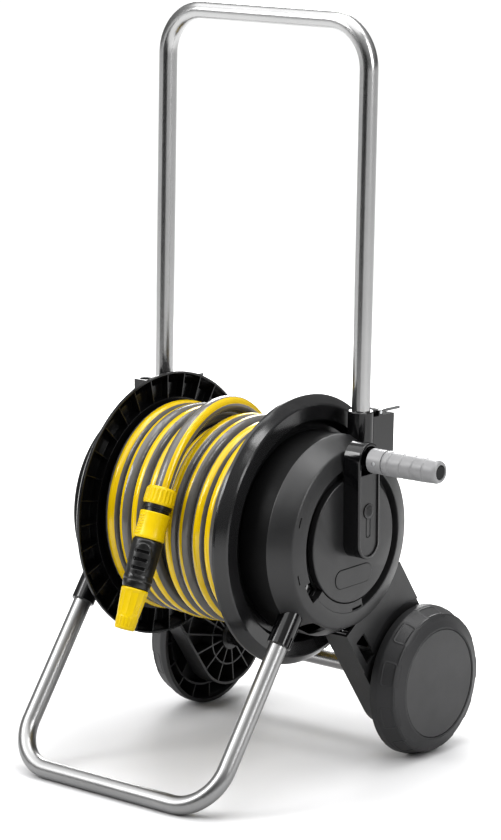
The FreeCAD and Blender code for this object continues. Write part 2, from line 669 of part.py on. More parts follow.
pin_at = ("tube_x", "pin_back", "pin_up - tower_top")
lever_plate = box("lever_plate", ("tube_x - lever_wide / 2", "pin_back", "pin_up - lever_thick / 2 - tower_top"),
                  ("tube_x + lever_wide / 2", "pin_back + lever_len", "pin_up + lever_thick / 2 - tower_top"))
lever_barrel = cylinder("lever_barrel", "barrel_r", "lever_wide", ("tube_x - lever_wide / 2", *pin_at[1:]))
lever_bore = cylinder("lever_bore", "pin_d / 2 + run_gap", "2 * lever_wide", ("tube_x - lever_wide", *pin_at[1:]))
lever = cut("clamp_lever", fuse("lever_built", lever_plate, lever_barrel), lever_bore)
subpart("clamp_lever_right", lever, HANDLE)
other_side("clamp_lever_left", lever)
pin = cylinder("clamp_pin", "pin_d / 2", "2 * tower_half", ("tube_x - tower_half", *pin_at[1:]))
pair("clamp_pins", framed(pin, HANDLE))


def tower_screw(index, drop):
    """Screw through the back of the handle block into the socket."""
    shank = cylinder(f"screw_shank_{index}", "frame_screw_r", "tower_y - socket_d / 2 + 1",
                     ("tube_x", "socket_d / 2 + seat_gap", f"-tower_top - {drop}"), "Y")
    head = cylinder(f"screw_head_{index}", "3.8", "2.4", ("tube_x", "tower_y", f"-tower_top - {drop}"), "Y")
    return fuse(f"frame_screw_{index}", shank, head)


screws = helper("Part::Compound", "tower_screws_right")
screws.Links = [tower_screw(i, drop) for i, drop in enumerate(FRAME_SCREW_DROPS)]
pair("frame_screws", seat(screws, HANDLE))

bush = turned("bush", (
    ("boss_x - 2", "shaft_r + run_gap"), ("boss_x - 2", "boss_r"), ("boss_x - seat_gap", "boss_r"),
    ("boss_x - seat_gap", "bush_r - seat_gap"), ("hub_wall_x", "bush_r - seat_gap"),
    ("hub_wall_x", "shaft_r + run_gap")))
subpart("hub_bush_right", bush, REEL)
other_side("hub_bush_left", bush)

cover = turned("hub_cover", (
    ("hub_wall_x + seat_gap", "13"), ("hub_wall_x + 2.6", "13"), ("hub_wall_x + 2.6", "disc_r - 1.5"),
    ("hub_wall_x + 1.6", "disc_r"), ("hub_wall_x + seat_gap", "disc_r")))
seat(cover, REEL)
other_side("hub_cover_left", cover)

holder_block = box("holder_block", ("-tube_x - 6", "2", "100"), ("12 - tube_x", "20", "134"))
holder_cup = cylinder("holder_cup", "6.5", "24", ("3 - tube_x", "11", "114"), "Z")
holder_seat = cylinder("holder_seat", "cone_r + seat_gap", "80", ("-180", "0", "0"))
subpart("nozzle_holder", cut("nozzle_holder", holder_block, holder_cup, holder_seat), REEL)


# ---------------------------------------------------------------- wheels

def wheel():
    """Moulded wheel, open towards the cart, with rim ribs and spokes."""
    bore = "tube_d / 2 + run_gap"
    web_in = "wheel_out - 2 * wheel_wall"
    web_out = "wheel_out - wheel_wall"
    body = turned("wheel", (
        ("wheel_in + 1.5", bore), ("wheel_in + 1.5", "17"), (web_in, "17"), (web_in, "62"),
        ("wheel_in + 8", "62"), ("wheel_in + 8", "64.5"), (web_in, "64.5"), (web_in, "wheel_face_r - 2 * wheel_wall"),
        ("wheel_out - 8", "wheel_face_r - wheel_wall"), ("wheel_in + tread_flat - 1", "wheel_r - 4"),
        ("wheel_in", "wheel_r - 4"), ("wheel_in", "wheel_r"), ("wheel_in + tread_flat", "wheel_r"),
        ("wheel_out - 4", "wheel_face_r"), ("wheel_out", "cap_r + 1.5"), ("wheel_out", "cap_r + seat_gap"),
        (web_out, "cap_r + seat_gap"), (web_out, bore)))
    rounded(body, ("wheel_in + tread_flat", "wheel_r", 5), ("wheel_in", "wheel_r", 1.5))
    rib_sketch = sketch_on(body, "XZ_Plane", "wheel_rib_sketch")
    outline(rib_sketch, (("wheel_in + 6", "64"), (f"{web_in} + 1", "64"), (f"{web_in} + 1", "wheel_face_r - 5"),
                         ("wheel_in + tread_flat + 1", "wheel_r - 3"), ("wheel_in + 6", "wheel_r - 3")))
    rib = padded(body, rib_sketch, "wheel_rib", "2", both_ways=True)
    around_x(body, [rib], "wheel_ribs", "16")
    spoke_sketch = sketch_on(body, "XZ_Plane", "wheel_spoke_sketch")
    outline(spoke_sketch, (("wheel_in + 14", "16"), (f"{web_in} + 1", "16"), (f"{web_in} + 1", "63"),
                           ("wheel_in + 10", "63")))
    spoke = padded(body, spoke_sketch, "wheel_spoke", "2.4", both_ways=True)
    around_x(body, [spoke], "wheel_spokes", "8")
    mark_sketch = sketch_on(body, "XY_Plane", "tread_mark_sketch", "wheel_r - 1.2")
    mark_in, mark_out = "wheel_in + 2.5", "wheel_in + tread_flat - 2"
    outline(mark_sketch, ((mark_in, "-8"), (mark_out, "-8"), (mark_out, "8"), (mark_in, "8")))
    mark = pocketed(body, mark_sketch, "tread_mark", "5", towards_plus=True)
    around_x(body, [mark], "tread_marks", "10")
    lug_sketch = sketch_on(body, "XZ_Plane", "lug_sketch")
    outline(lug_sketch, (("wheel_out - 10", "wheel_face_r + 0.9"), ("wheel_out - 2.5", "wheel_face_r - 4.2"),
                         ("wheel_out + 2", "wheel_face_r - 2"), ("wheel_out - 4", "wheel_face_r + 6")))
    lug = pocketed(body, lug_sketch, "tread_lug_gap", "26", both_ways=True)
    around_x(body, [lug], "tread_lug_gaps", "10")
    return body


right_wheel = wheel()
subpart("wheel_right", right_wheel, AXLE)
other_side("wheel_left", right_wheel, WHEEL_PLANE)

cap = turned("wheel_cap", (
    ("wheel_out - wheel_wall + seat_gap", "30"), ("wheel_out - wheel_wall + seat_gap", "cap_r"),
    ("wheel_out - 0.9", "cap_r"), ("wheel_out - 0.1", "cap_r - 1.2"), ("wheel_out", "40"), ("wheel_out", "0"),
    ("wheel_out - 1.2", "0"), ("wheel_out - 1.2", "30")))
subpart("wheel_cap_right", cap, AXLE)
other_side("wheel_cap_left", cap, WHEEL_PLANE)


# ---------------------------------------------------------------- drum

def flange():
    """Drum flange: smooth dished outside, ribbed pockets towards the hose."""
    body = turned("flange", (
        ("flange_in", "shaft_r + seat_gap"), ("flange_in", "core_r - core_wall - 4"),
        ("flange_in - 8", "core_r - core_wall - 4"), ("flange_in - 8", "core_r - core_wall - seat_gap"),
        ("flange_in", "core_r - core_wall - seat_gap"), ("flange_in", "pocket_r + 1"), ("pocket_x", "pocket_r + 3"),
        ("pocket_x", "flange_r - 13"), ("flange_plate - 0.5", "flange_r - 4"), ("flange_in", "flange_r - 2"),
        ("flange_in", "flange_r"), ("flange_plate + 0.5", "flange_r"), ("flange_face - 1", "flange_r - 9"),
        ("flange_face", "flange_r - 11"), ("flange_face", "pocket_r + 3"), ("flange_plate", "pocket_r - 2"),
        ("flange_plate", "shaft_r + seat_gap")))
    rounded(body, ("flange_plate + 0.5", "flange_r", 1.5), ("flange_face", "pocket_r + 3", 1))
    rib_sketch = sketch_on(body, "XZ_Plane", "flange_rib_sketch")
    outline(rib_sketch, (("flange_in + 0.3", "pocket_r"), ("pocket_x + 1", "pocket_r + 2"),
                         ("pocket_x + 1", "flange_r - 13"), ("flange_plate", "flange_r - 3.5"),
                         ("flange_in + 0.3", "flange_r - 1.5")))
    rib = padded(body, rib_sketch, "flange_rib", "rib", both_ways=True)
    around_x(body, [rib], "flange_ribs", "rib_count")
    bore_sketch = sketch_on(body, "YZ_Plane", "flange_bore_sketch", "flange_in - 10")
    ring(bore_sketch, "26", "0", "2 + seat_gap")
    bore = pocketed(body, bore_sketch, "flange_bore", "20", towards_plus=True)
    around_x(body, [bore], "flange_bores", "4")
    return body


flange_right = flange()
subpart("flange_right", flange_right, REEL)
other_side("flange_left", flange_right)

core_half = "flange_in - seat_gap"
core = cut("core", cylinder("core_out", "core_r", f"2 * ({core_half})", (f"-({core_half})", "0", "0")),
           cylinder("core_in", "core_r - core_wall", "2 * flange_in + 2", ("-flange_in - 1", "0", "0")),
           cylinder("core_outlet_hole", "11.5", "core_r + 5", ("22 - flange_in", "0", "0"), "Z"))
subpart("drum_core", core, REEL)


def hub(name, inner, outer, bore):
    """Hub with a flange inside the drum and a journal out through the side frame."""
    body = turned(name, (
        ("flange_in - 4", bore), ("flange_in - 4", "32"), ("flange_in - seat_gap", "32"),
        ("flange_in - seat_gap", "shaft_r"), (outer, "shaft_r"), (outer, bore)))
    holes = []
    for i, (y, z) in enumerate(((26, 0), (0, 26), (-26, 0), (0, -26))):
        holes.append(cylinder(f"{name}_hole_{i}", "2 + seat_gap", "12", (inner, str(y), str(z))))
    return cut(f"{name}_drilled", body, *holes)


hub_right = hub("hub_right", "flange_in - 8", "disc_x - 3.5", "0")
subpart("hub_shaft_right", hub_right, REEL)
hub_left = seat(hub("hub_left", "flange_in - 8", "hub_end", "water_r"), REEL)
other_side("hub_shaft_left", hub_left)

screw_parts = []
for i, (y, z) in enumerate(((26, 0), (0, 26), (-26, 0), (0, -26))):
    shank = cylinder(f"drum_shank_{i}", "2", "flange_plate - flange_in + 4", ("flange_in - 4", str(y), str(z)))
    head = cylinder(f"drum_head_{i}", "3.6", "2.4", ("flange_plate", str(y), str(z)))
    screw_parts.append(fuse(f"drum_screw_{i}", shank, head))
drum_screws = helper("Part::Compound", "drum_screws_right")
drum_screws.Links = screw_parts
pair("drum_screws", seat(drum_screws, REEL))

outlet_x = "22 - flange_in"
outlet = cut(
    "outlet",
    fuse("outlet_built",
         cylinder("outlet_flange", "18", "3", ("4 + seat_gap - flange_in", "0", "0")),
         cylinder("outlet_run", "11", "28", ("4 + seat_gap - flange_in", "0", "0")),
         cylinder("outlet_rise", "11", "core_r + hose_d / 2", (outlet_x, "0", "0"), "Z")),
    cylinder("outlet_bore", "6.5", "18", ("3 - flange_in", "0", "0")),
    cylinder("outlet_rise_bore", "6.5", "core_r + hose_d", (outlet_x, "0", "0"), "Z"))

subpart("outlet_elbow", outlet, REEL)


# ---------------------------------------------------------------- crank

disc = turned("disc", (
    ("disc_x", "0"), ("disc_x", "disc_r"), ("disc_back_x", "disc_r"), ("disc_back_x", "disc_r - wall"),
    ("disc_x - wall", "disc_r - wall"), ("disc_x - wall", "20"), ("disc_back_x", "20"),
    ("disc_back_x", "shaft_r + seat_gap"), ("disc_x - wall", "shaft_r + seat_gap"), ("disc_x - wall", "0")))
rounded(disc, ("disc_x", "disc_r", 1.6))
seat(disc, REEL)


def badge_plate(name, near, length, radius):
    """Level capsule on the disc, below the crank axis."""
    body = helper("PartDesign::Body", name)
    sketch = sketch_on(body, "YZ_Plane", f"{name}_sketch", near)
    capsule(sketch, "0", "-21", "21", radius)
    padded(body, sketch, f"{name}_pad", length)
    return seat(body, ("mid_x", "drum_y", "drum_z - 40", "90"))


recess = badge_plate("badge_recess", "disc_x - 1.2", "3", "10")
subpart("crank_disc", cut("crank_disc", disc, recess))
subpart("badge_plate", badge_plate("badge", "disc_x - 1.1", "1.7", "10 - seat_gap"))


def crank_arm():
    """Capsule-shaped arm with a deep recess for the cover and the grip hinge."""
    body = helper("PartDesign::Body", "arm")
    sketch = sketch_on(body, "YZ_Plane", "arm_sketch", "disc_x")
    capsule(sketch, "0", "0", "crank_r", "crank_w")
    pad = padded(body, sketch, "arm_pad", "crank_x - disc_x")
    doc.recompute()
    rim = [f"Edge{i}" for i, edge in enumerate(body.Shape.Edges, start=1)
           if abs(edge.BoundBox.XMin - number("crank_x")) < 0.01 and edge.BoundBox.XLength < 0.01]
    soft = body.newObject("PartDesign::Fillet", "arm_rim")
    soft.Base = (pad, rim)
    soft.Radius = 1.6
    recess_sketch = sketch_on(body, "YZ_Plane", "arm_recess_sketch", "crank_x")
    capsule(recess_sketch, "0", "0", "crank_r", "crank_w - crank_wall")
    pocketed(body, recess_sketch, "arm_recess", "crank_x - disc_x - 4")
    return body


subpart("crank_arm", crank_arm(), REEL)


def crank_cover():
    """Inner face of the arm, with a keyhole round the latch button, hollow behind."""
    floor_x = "disc_x + 4"
    body = helper("PartDesign::Body", "cover")
    sketch = sketch_on(body, "YZ_Plane", "cover_sketch", f"{floor_x} + seat_gap")
    capsule(sketch, "0", "0", "crank_r", "crank_w - crank_wall - seat_gap")
    padded(body, sketch, "cover_pad", f"cover_x - ({floor_x}) - seat_gap")
    hollow_sketch = sketch_on(body, "YZ_Plane", "cover_hollow_sketch", "cover_x - wall")
    capsule(hollow_sketch, "0", "0", "crank_r", "crank_w - crank_wall - 3")
    pocketed(body, hollow_sketch, "cover_hollow", "20")
    top = box("cover_top", ("disc_x", "-crank_w", "crank_r - 16"), ("crank_x", "crank_w", "crank_r + crank_w"))
    keyhole = cylinder("cover_keyhole", "button_r + slide_gap", "20", ("disc_x + 8", "0", "button_z"))
    slits = [box(f"cover_slit_{i}", ("cover_x - 1.5", near, "button_z - 28"), ("crank_x", far, "button_z - 4"))
             for i, (near, far) in enumerate((("-3.6", "-2.8"), ("2.8", "3.6")))]
    return cut("crank_cover", body, top, keyhole, *slits)


subpart("crank_cover", crank_cover(), REEL)

button_head = cylinder("button_head", "button_r", "10", ("cover_x - 9", "0", "button_z"))
button_rim = cylinder("button_rim", "button_r + 1.6", "1.6", ("cover_x - wall - 1.9", "0", "button_z"))
subpart("fold_latch_button", fuse("fold_latch_button", button_head, button_rim), REEL)
spring_out = cylinder("spring_out", "4", "cover_x - 9 - disc_x - 4 - 2 * seat_gap",
                      ("disc_x + 4 + seat_gap", "0", "button_z"))
spring_in = cylinder("spring_in", "3", "20", ("disc_x", "0", "button_z"))
subpart("fold_latch_spring", cut("fold_latch_spring", spring_out, spring_in), REEL)

# The grip is drawn from its fold pin, with the crank arm on the -X side.
arm_floor = "disc_x + 4 - fold_x"
tongue = cut(
    "tongue",
    fuse("tongue_built",
         box("tongue_plate", (f"{arm_floor} + seat_gap", "-tongue_w / 2", "-tongue_r"), ("0", "tongue_w / 2", "tongue_r")),
         cylinder("tongue_end", "tongue_r", "tongue_w", ("0", "-tongue_w / 2", "0"), "Y"),
         cylinder("tongue_foot", "13.5", "3.5", (f"{arm_floor} + seat_gap", "0", "0"))),
    cylinder("tongue_bore", "fold_pin_r + run_gap", "tongue_w + 2", ("0", "-tongue_w / 2 - 1", "0"), "Y"))
subpart("grip_hinge_tongue", tongue, FOLD)

fold_pin = cylinder("fold_pin", "fold_pin_r", "2 * knuckle_r - 1.6", ("0", "0.8 - knuckle_r", "0"), "Y")
subpart("grip_fold_pin", framed(fold_pin, FOLD))

knuckle_in, knuckle_out = "knuckle_in - fold_x", "knuckle_end - fold_x"
slot_in = "tongue_r + 0.4"
knuckle_turned = turned("knuckle_turned", (
    (knuckle_in, "0"), (knuckle_in, "knuckle_r - 1"), (f"{knuckle_in} + 1", "knuckle_r"), (knuckle_out, "knuckle_r"),
    (knuckle_out, "0")))
knuckle_limit = fuse(
    "knuckle_limit",
    cylinder("knuckle_swing", "fold_x - crank_x - slide_gap", "40", ("0", "-20", "0"), "Y"),
    box("knuckle_upper", ("-20", "-20", "0"), ("20", "20", "20")),
    box("knuckle_front", ("0", "-20", "-20"), ("20", "20", "20")))
knuckle = cut(
    "knuckle", common("knuckle_round", knuckle_turned, knuckle_limit),
    box("knuckle_slot", ("-20", "-tongue_w / 2 - slide_gap", "-20"), (slot_in, "tongue_w / 2 + slide_gap", slot_in)),
    cylinder("knuckle_pin_bore", "fold_pin_r + 0.05", "40", ("0", "-20", "0"), "Y"),
    cylinder("knuckle_spindle_bore", "spindle_r + 0.05", "20", (f"{slot_in} - 0.5", "0", "0")))
subpart("grip_knuckle", knuckle, FOLD)

washer_in = "grip_end - fold_x - 12"
spindle = fuse("spindle", cylinder("spindle_rod", "spindle_r", f"{washer_in} + 4 - ({slot_in})", (slot_in, "0", "0")),
               cylinder("spindle_washer", "6.5", "2", (f"{washer_in} + 0.4", "0", "0")))
subpart("grip_spindle", spindle, FOLD)


def grip_profile():
    """Outline of the grip: a gentle taper with finger rings, and a pocket for the end plug."""
    start, end = "knuckle_end + slide_gap - fold_x", "grip_end - fold_x"
    points = [(start, "spindle_r + 0.15"), (start, "grip_r"), ("17", "grip_r + 0.1")]
    for ring_x in (18, 33, 48, 62):
        points += [(str(ring_x - 1), "grip_r"), (str(ring_x), "grip_r - 0.9"), (str(ring_x + 1), "grip_r")]
        points += [(str(ring_x + 7), "grip_r + 0.5")]
    points += [(f"{end} - 2.5", "grip_end_r"), (end, "grip_end_r - 2.5"), (end, "7.6"), (washer_in, "7.6"),
               (washer_in, "spindle_r + 0.15")]
    return points


subpart("crank_grip", turned("grip", grip_profile()), FOLD)
plug = turned("plug", (
    (f"{washer_in} + 5", "0"), (f"{washer_in} + 5", "7.5"), ("grip_end - fold_x - 1", "7.5"),
    ("grip_end - fold_x - 0.4", "6.6"), ("grip_end - fold_x - 0.4", "0")))
subpart("grip_end_plug", plug, FOLD)


# ---------------------------------------------------------------- water inlet, on the left

stem = turned("inlet_stem", (
    ("-inlet_x", "0"), ("-inlet_x", "inlet_r"), ("-hub_end - 0.6", "inlet_r"), ("-hub_end - 0.6", "water_r - run_gap"),
    ("-149", "water_r - run_gap"), ("-149", "6.5"), ("-146.8", "6.5"), ("-146.8", "water_r - run_gap"),
    ("-137", "water_r - run_gap"), ("-137", "6.5"), ("-134.8", "6.5"), ("-134.8", "water_r - run_gap"),
    ("-stem_end", "water_r - run_gap"), ("-stem_end", "0")))
knee = helper("Part::Sphere", "inlet_knee")
bind(knee, Radius="inlet_r")
knee.setExpression("Placement.Base.x", formula("-inlet_x"))
drop = cylinder("inlet_drop_tube", "inlet_r", "28", ("-inlet_x", "0", "-28"), "Z")
elbow = cut("inlet", fuse("inlet_built", stem, knee, drop),
            cylinder("inlet_stem_bore", "5", "inlet_x - stem_end + 1", ("-inlet_x", "0", "0")),
            cylinder("inlet_drop_bore", "5", "30", ("-inlet_x", "0", "-30"), "Z"),
            cylinder("inlet_thread", "7", "9", ("-inlet_x", "0", "-29"), "Z"))
subpart("inlet_elbow", elbow, REEL)

seals = helper("Part::Compound", "seals")
seal_rings = []
for i, station in enumerate((-147.9, -135.9)):
    seal = helper("Part::Torus", f"seal_{i}")
    bind(seal, Radius1="water_r - 0.9", Radius2="0.85")
    seal.Placement = Placement(Vector(station, 0, 0), Rotation(Vector(0, 1, 0), 90))
    seal_rings.append(seal)
seals.Links = seal_rings
subpart("inlet_seals", seals, REEL)

spigot = turned("spigot", (
    ("-inlet_drop", "4.5"), ("-inlet_drop", "spigot_r - 0.8"), ("0.8 - inlet_drop", "spigot_r"),
    ("10 - inlet_drop", "spigot_r"), ("11 - inlet_drop", "6.6"), ("14 - inlet_drop", "6.6"), ("-31", "9.8"),
    ("-28 - seat_gap", "9.8"), ("-28 - seat_gap", "6.9"), ("-21", "6.9"), ("-21", "4.5")), "Z")
subpart("inlet_spigot", spigot, ("mid_x - inlet_x", "drum_y", "drum_z", "0"))


# ---------------------------------------------------------------- hose and connector

coil = turned("coil", (
    ("1.2 - flange_in", "core_r + seat_gap"), ("1.2 - flange_in", "coil_r - 8"), ("10 - flange_in", "coil_r"),
    ("flange_in - 10", "coil_r"), ("flange_in - 1.2", "coil_r - 8"), ("flange_in - 1.2", "core_r + seat_gap")))
coil_outlet = cylinder("coil_outlet", "12", "core_r + hose_d", (outlet_x, "0", "0"), "Z")
subpart("hose_coil", cut("hose_coil", coil, coil_outlet), REEL)

# Route of the hose's free end round the coil: X, radius from the drum axis, angle above the front.
TAIL = ((-15, 110, 129), (-11, 120, 107.5), (-5, 128, 87.5), (0, 133, 69), (4, 135.6, 50.5), (5, 136.2, 32.9))


def tail_route():
    """Corner points of the hose end, ending inside the connector nut."""
    points = []
    for x, radius, angle in TAIL:
        turn = math.radians(angle)
        points.append(Vector(x, -radius * math.cos(turn), radius * math.sin(turn)))
    turn = math.radians(number("tail_angle"))
    seat_point = Vector(number("tail_x"), -number("tail_r") * math.cos(turn), number("tail_r") * math.sin(turn))
    into_nut = Vector(0, -math.sin(turn), -math.cos(turn)) * number("nut_in")
    return points + [seat_point + into_nut]


def tube_along(points, radius):
    """Solid tube of straight runs joined by tangent arcs, as large as the runs allow."""
    edges = []
    last = points[0]
    for before, corner, after in zip(points, points[1:], points[2:]):
        back, ahead = before - corner, after - corner
        trim = 0.45 * min(back.Length, ahead.Length)
        half_turn = (math.pi - back.getAngle(ahead)) / 2
        print(f"hose bend radius {trim / math.tan(half_turn):.1f} mm")
        start = corner + back * (trim / back.Length)
        end = corner + ahead * (trim / ahead.Length)
        bisector = (start + end) * 0.5 - corner
        bend = trim / math.tan(half_turn)
        middle = corner + bisector * ((math.hypot(bend, trim) - bend) / bisector.Length)
        edges.append(Part.LineSegment(last, start).toShape())
        edges.append(Part.Arc(start, middle, end).toShape())
        last = end
    edges.append(Part.LineSegment(last, points[-1]).toShape())
    route = Part.Wire(edges)
    section = Part.Wire(Part.Circle(points[0], points[1] - points[0], radius).toShape())
    tube = route.makePipeShell([section], True, False)
    expected = math.pi * radius ** 2 * route.Length
    print(f"hose end {route.Length:.1f} mm long, volume {tube.Volume / expected:.4f} of section x length")
    return tube


tail = helper("Part::Feature", "hose_tail")
tail.Shape = tube_along(tail_route(), number("hose_d") / 2)
subpart("hose_tail", tail, REEL)

nut_rings = [("0", "hose_d / 2 + slide_gap"), ("0", "nut_d / 2 - 2.5"), ("2", "nut_d / 2 - 0.8"),
             ("nut_len - 1", "nut_d / 2 - 0.8"), ("nut_len", "nut_d / 2 - 1.8"), ("nut_len", "14.6"),
             ("nut_in - 1", "14.6"), ("nut_in - 1", "hose_d / 2 + slide_gap")]
nut_round = turned("nut_round", nut_rings, "Z")
nut_ribs = []
for i in range(20):
    rib = cylinder(f"nut_rib_{i}", "1", "nut_len - 4", ("nut_d / 2 - 1", "0", "2.4"), "Z")
    holder = helper("Part::Compound", f"nut_rib_{i}_at")
    holder.Links = [rib]
    holder.Placement = Placement(Vector(0, 0, 0), Rotation(Vector(0, 0, 1), 18 * i))
    nut_ribs.append(holder)
subpart("connector_nut", fuse("connector_nut", nut_round, *nut_ribs), HOSE_END)

connector = turned("connector", (
    ("nut_in", "0"), ("nut_in", "14.5"), ("nut_len + 1", "14.5"), ("nut_len + 1", "15.4"), ("collar_z - 4.2", "15.4"),
    ("collar_z - 4.2", "13.6"), ("nozzle_z - 0.4", "13.6"), ("nozzle_z - 0.4", "8.3"), ("nozzle_z - 16", "8.3"),
    ("nozzle_z - 16", "0")), "Z")
subpart("connector_body", connector, HOSE_END)

collar = turned("collar", (
    ("collar_z", "13.6 + 0.2"), ("collar_z", "16"), ("collar_z + 1", "17"), ("collar_z + collar_len - 1", "16.6"),
    ("collar_z + collar_len", "15.6"), ("collar_z + collar_len", "13.6 + 0.2")), "Z")
subpart("connector_collar", collar, HOSE_END)

nozzle_end = "nozzle_z + nozzle_len"
nozzle = turned("nozzle", (
    ("nozzle_z - 14", "0"), ("nozzle_z - 14", "8.2"), ("nozzle_z", "8.2"), ("nozzle_z", "15.5"),
    ("nozzle_z + 1.5", "16.4"), ("nozzle_z + 18", "16.6"), ("nozzle_z + 40", "15.6"), (f"{nozzle_end} - 1.5", "15.2"),
    (nozzle_end, "14"), (nozzle_end, "8"), (f"{nozzle_end} + 22", "8"), (f"{nozzle_end} + 22", "0")), "Z")
subpart("nozzle_body", nozzle, HOSE_END)

tip_start = f"{nozzle_end} + slide_gap"
tip_end = f"{nozzle_end} + tip_len"
tip = turned("tip", (
    (tip_start, "8 + slide_gap"), (tip_start, "14"), (f"{tip_start} + 1.5", "14.8"), (f"{tip_end} - 14", "12.4"),
    (f"{tip_end} - 12", "11.6"), (f"{tip_end} - 1", "10.8"), (tip_end, "9.6"), (tip_end, "5"), (f"{tip_end} - 12", "4"),
    (f"{tip_end} - 20", "8 + slide_gap")), "Z")
subpart("nozzle_tip", tip, HOSE_END)


# ---------------------------------------------------------------- checks and export

doc.recompute()
failed = [item.Name for item in doc.Objects if {"Invalid", "Error"} & set(item.State)]
if failed:
    raise RuntimeError(f"failed: {failed}")
labels = [piece.Label for piece in SUBPARTS]
if len(labels) != len(set(labels)):
    raise RuntimeError("two sub-parts share a name")
os.makedirs("parts", exist_ok=True)
for piece in SUBPARTS:
    if piece.Shape.isNull() or not piece.Shape.isValid() or not piece.Shape.Solids:
        raise RuntimeError(f"{piece.Label}: bad shape")
    piece.Shape.exportStep(f"parts/{piece.Label}.step")
print(f"{len(SUBPARTS)} sub-parts written")
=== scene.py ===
import json
import logging
import math
from collections.abc import Callable
from dataclasses import dataclass, field
from enum import Enum

import bpy
import numpy as np
from bpy.types import ID, Material, Node, NodeSocket, Object, World
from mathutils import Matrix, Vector

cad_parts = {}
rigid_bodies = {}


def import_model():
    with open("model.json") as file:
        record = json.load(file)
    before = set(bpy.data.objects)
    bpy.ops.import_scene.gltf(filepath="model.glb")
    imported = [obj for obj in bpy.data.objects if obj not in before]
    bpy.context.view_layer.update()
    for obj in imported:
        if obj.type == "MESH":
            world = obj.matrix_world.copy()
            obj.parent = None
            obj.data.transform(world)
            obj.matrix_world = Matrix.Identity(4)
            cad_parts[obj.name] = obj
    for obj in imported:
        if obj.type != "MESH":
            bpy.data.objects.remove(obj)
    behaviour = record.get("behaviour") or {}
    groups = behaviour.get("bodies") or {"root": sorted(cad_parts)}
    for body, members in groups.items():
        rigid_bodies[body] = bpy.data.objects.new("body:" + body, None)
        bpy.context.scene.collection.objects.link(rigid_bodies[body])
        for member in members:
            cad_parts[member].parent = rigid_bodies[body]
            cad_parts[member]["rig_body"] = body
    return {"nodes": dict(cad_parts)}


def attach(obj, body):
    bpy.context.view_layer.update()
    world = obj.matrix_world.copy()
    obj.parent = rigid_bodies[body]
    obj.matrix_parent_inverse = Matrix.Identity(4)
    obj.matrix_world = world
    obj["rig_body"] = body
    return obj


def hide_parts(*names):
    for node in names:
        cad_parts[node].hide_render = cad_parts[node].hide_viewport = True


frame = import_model()

MM = 0.001
# Points nearer than about this, in metres, are one point.
WELD = 2 * MM * MM
FULL_TURN = 2 * math.pi
log = logging.getLogger("hose_reel_cart")

# Main axes of the cart, in millimetres.
MID_X = -47.5
DRUM_Y, DRUM_Z = 3.4, 268.0


class Side(Enum):
    """Side of the cart, as the suffix of its node names."""

    RIGHT = "right"
    LEFT = "left"


class Feel(Enum):
    """Surface feel of a moulding: depth of its grain."""

    POLISHED = 0.02
    SATIN = 0.10
    GRAINED = 0.22


def turn_about_x(points: np.ndarray, degrees: float) -> np.ndarray:
    """Turn points about X.

    Formula: y' = y cos(a) - z sin(a) and z' = y sin(a) + z cos(a).

    Args:
        points: Array whose last axis is x, y, z.
        degrees: Angle a.

    Returns:
        Array of the same shape.
    """
    angle = math.radians(degrees)
    x, y, z = np.moveaxis(np.asarray(points, float), -1, 0)
    y_new = y * math.cos(angle) - z * math.sin(angle)
    z_new = y * math.sin(angle) + z * math.cos(angle)
    return np.stack([x, y_new, z_new], axis=-1)


@dataclass(frozen=True)
class Seat:
    """Local frame of a piece: a base point in millimetres and a turn about X in degrees."""

    base: tuple[float, float, float]
    turn: float = 0.0

    def carry(self, points: np.ndarray) -> np.ndarray:
        """Carry points from local millimetres to the cart's metres."""
        return (turn_about_x(points, self.turn) + np.array(self.base)) * MM

    def fetch(self, points: np.ndarray) -> np.ndarray:
        """Bring points in the cart's metres back to local millimetres."""
        return turn_about_x(points / MM - np.array(self.base), -self.turn)


REEL = Seat((MID_X, DRUM_Y, DRUM_Z))
AXLE = Seat((MID_X, 130.7, 83.5))
HANDLE = Seat((MID_X, 60.4, 811.0), -1.55)
FOOT = Seat((MID_X, -203.8, 10.0), -36.1)
FOLD = Seat((MID_X + 202.5, DRUM_Y, DRUM_Z + 90.0))
LATCH = Seat((140.0, DRUM_Y, DRUM_Z + 34.0))
HOSE_END = Seat((MID_X + 5.0, -119.57, 322.49), 156.1)


# ---------------------------------------------------------------- meshes

def put(name: str, data: ID) -> Object:
    """New object for some data, in the scene."""
    piece = bpy.data.objects.new(name, data)
    bpy.context.scene.collection.objects.link(piece)
    return piece


def body_of(node: str) -> str:
    """Body that a CAD node belongs to."""
    return frame["nodes"][node]["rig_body"]


def mesh_piece(name: str, points: np.ndarray, faces: list, sharp: float = 32.0) -> Object:
    """Smooth object with crisp edges, from points and faces.

    Args:
        name: Name of the object.
        points: Vertices in metres.
        faces: Vertex numbers of each face.
        sharp: Angle in degrees above which an edge is crisp.

    Returns:
        The object, at the origin.
    """
    mesh = bpy.data.meshes.new(name)
    mesh.from_pydata(points.reshape(-1, 3).tolist(), [], faces)
    mesh.validate()
    mesh.shade_smooth()
    mesh.set_sharp_from_angle(angle=math.radians(sharp))
    return put(name, mesh)


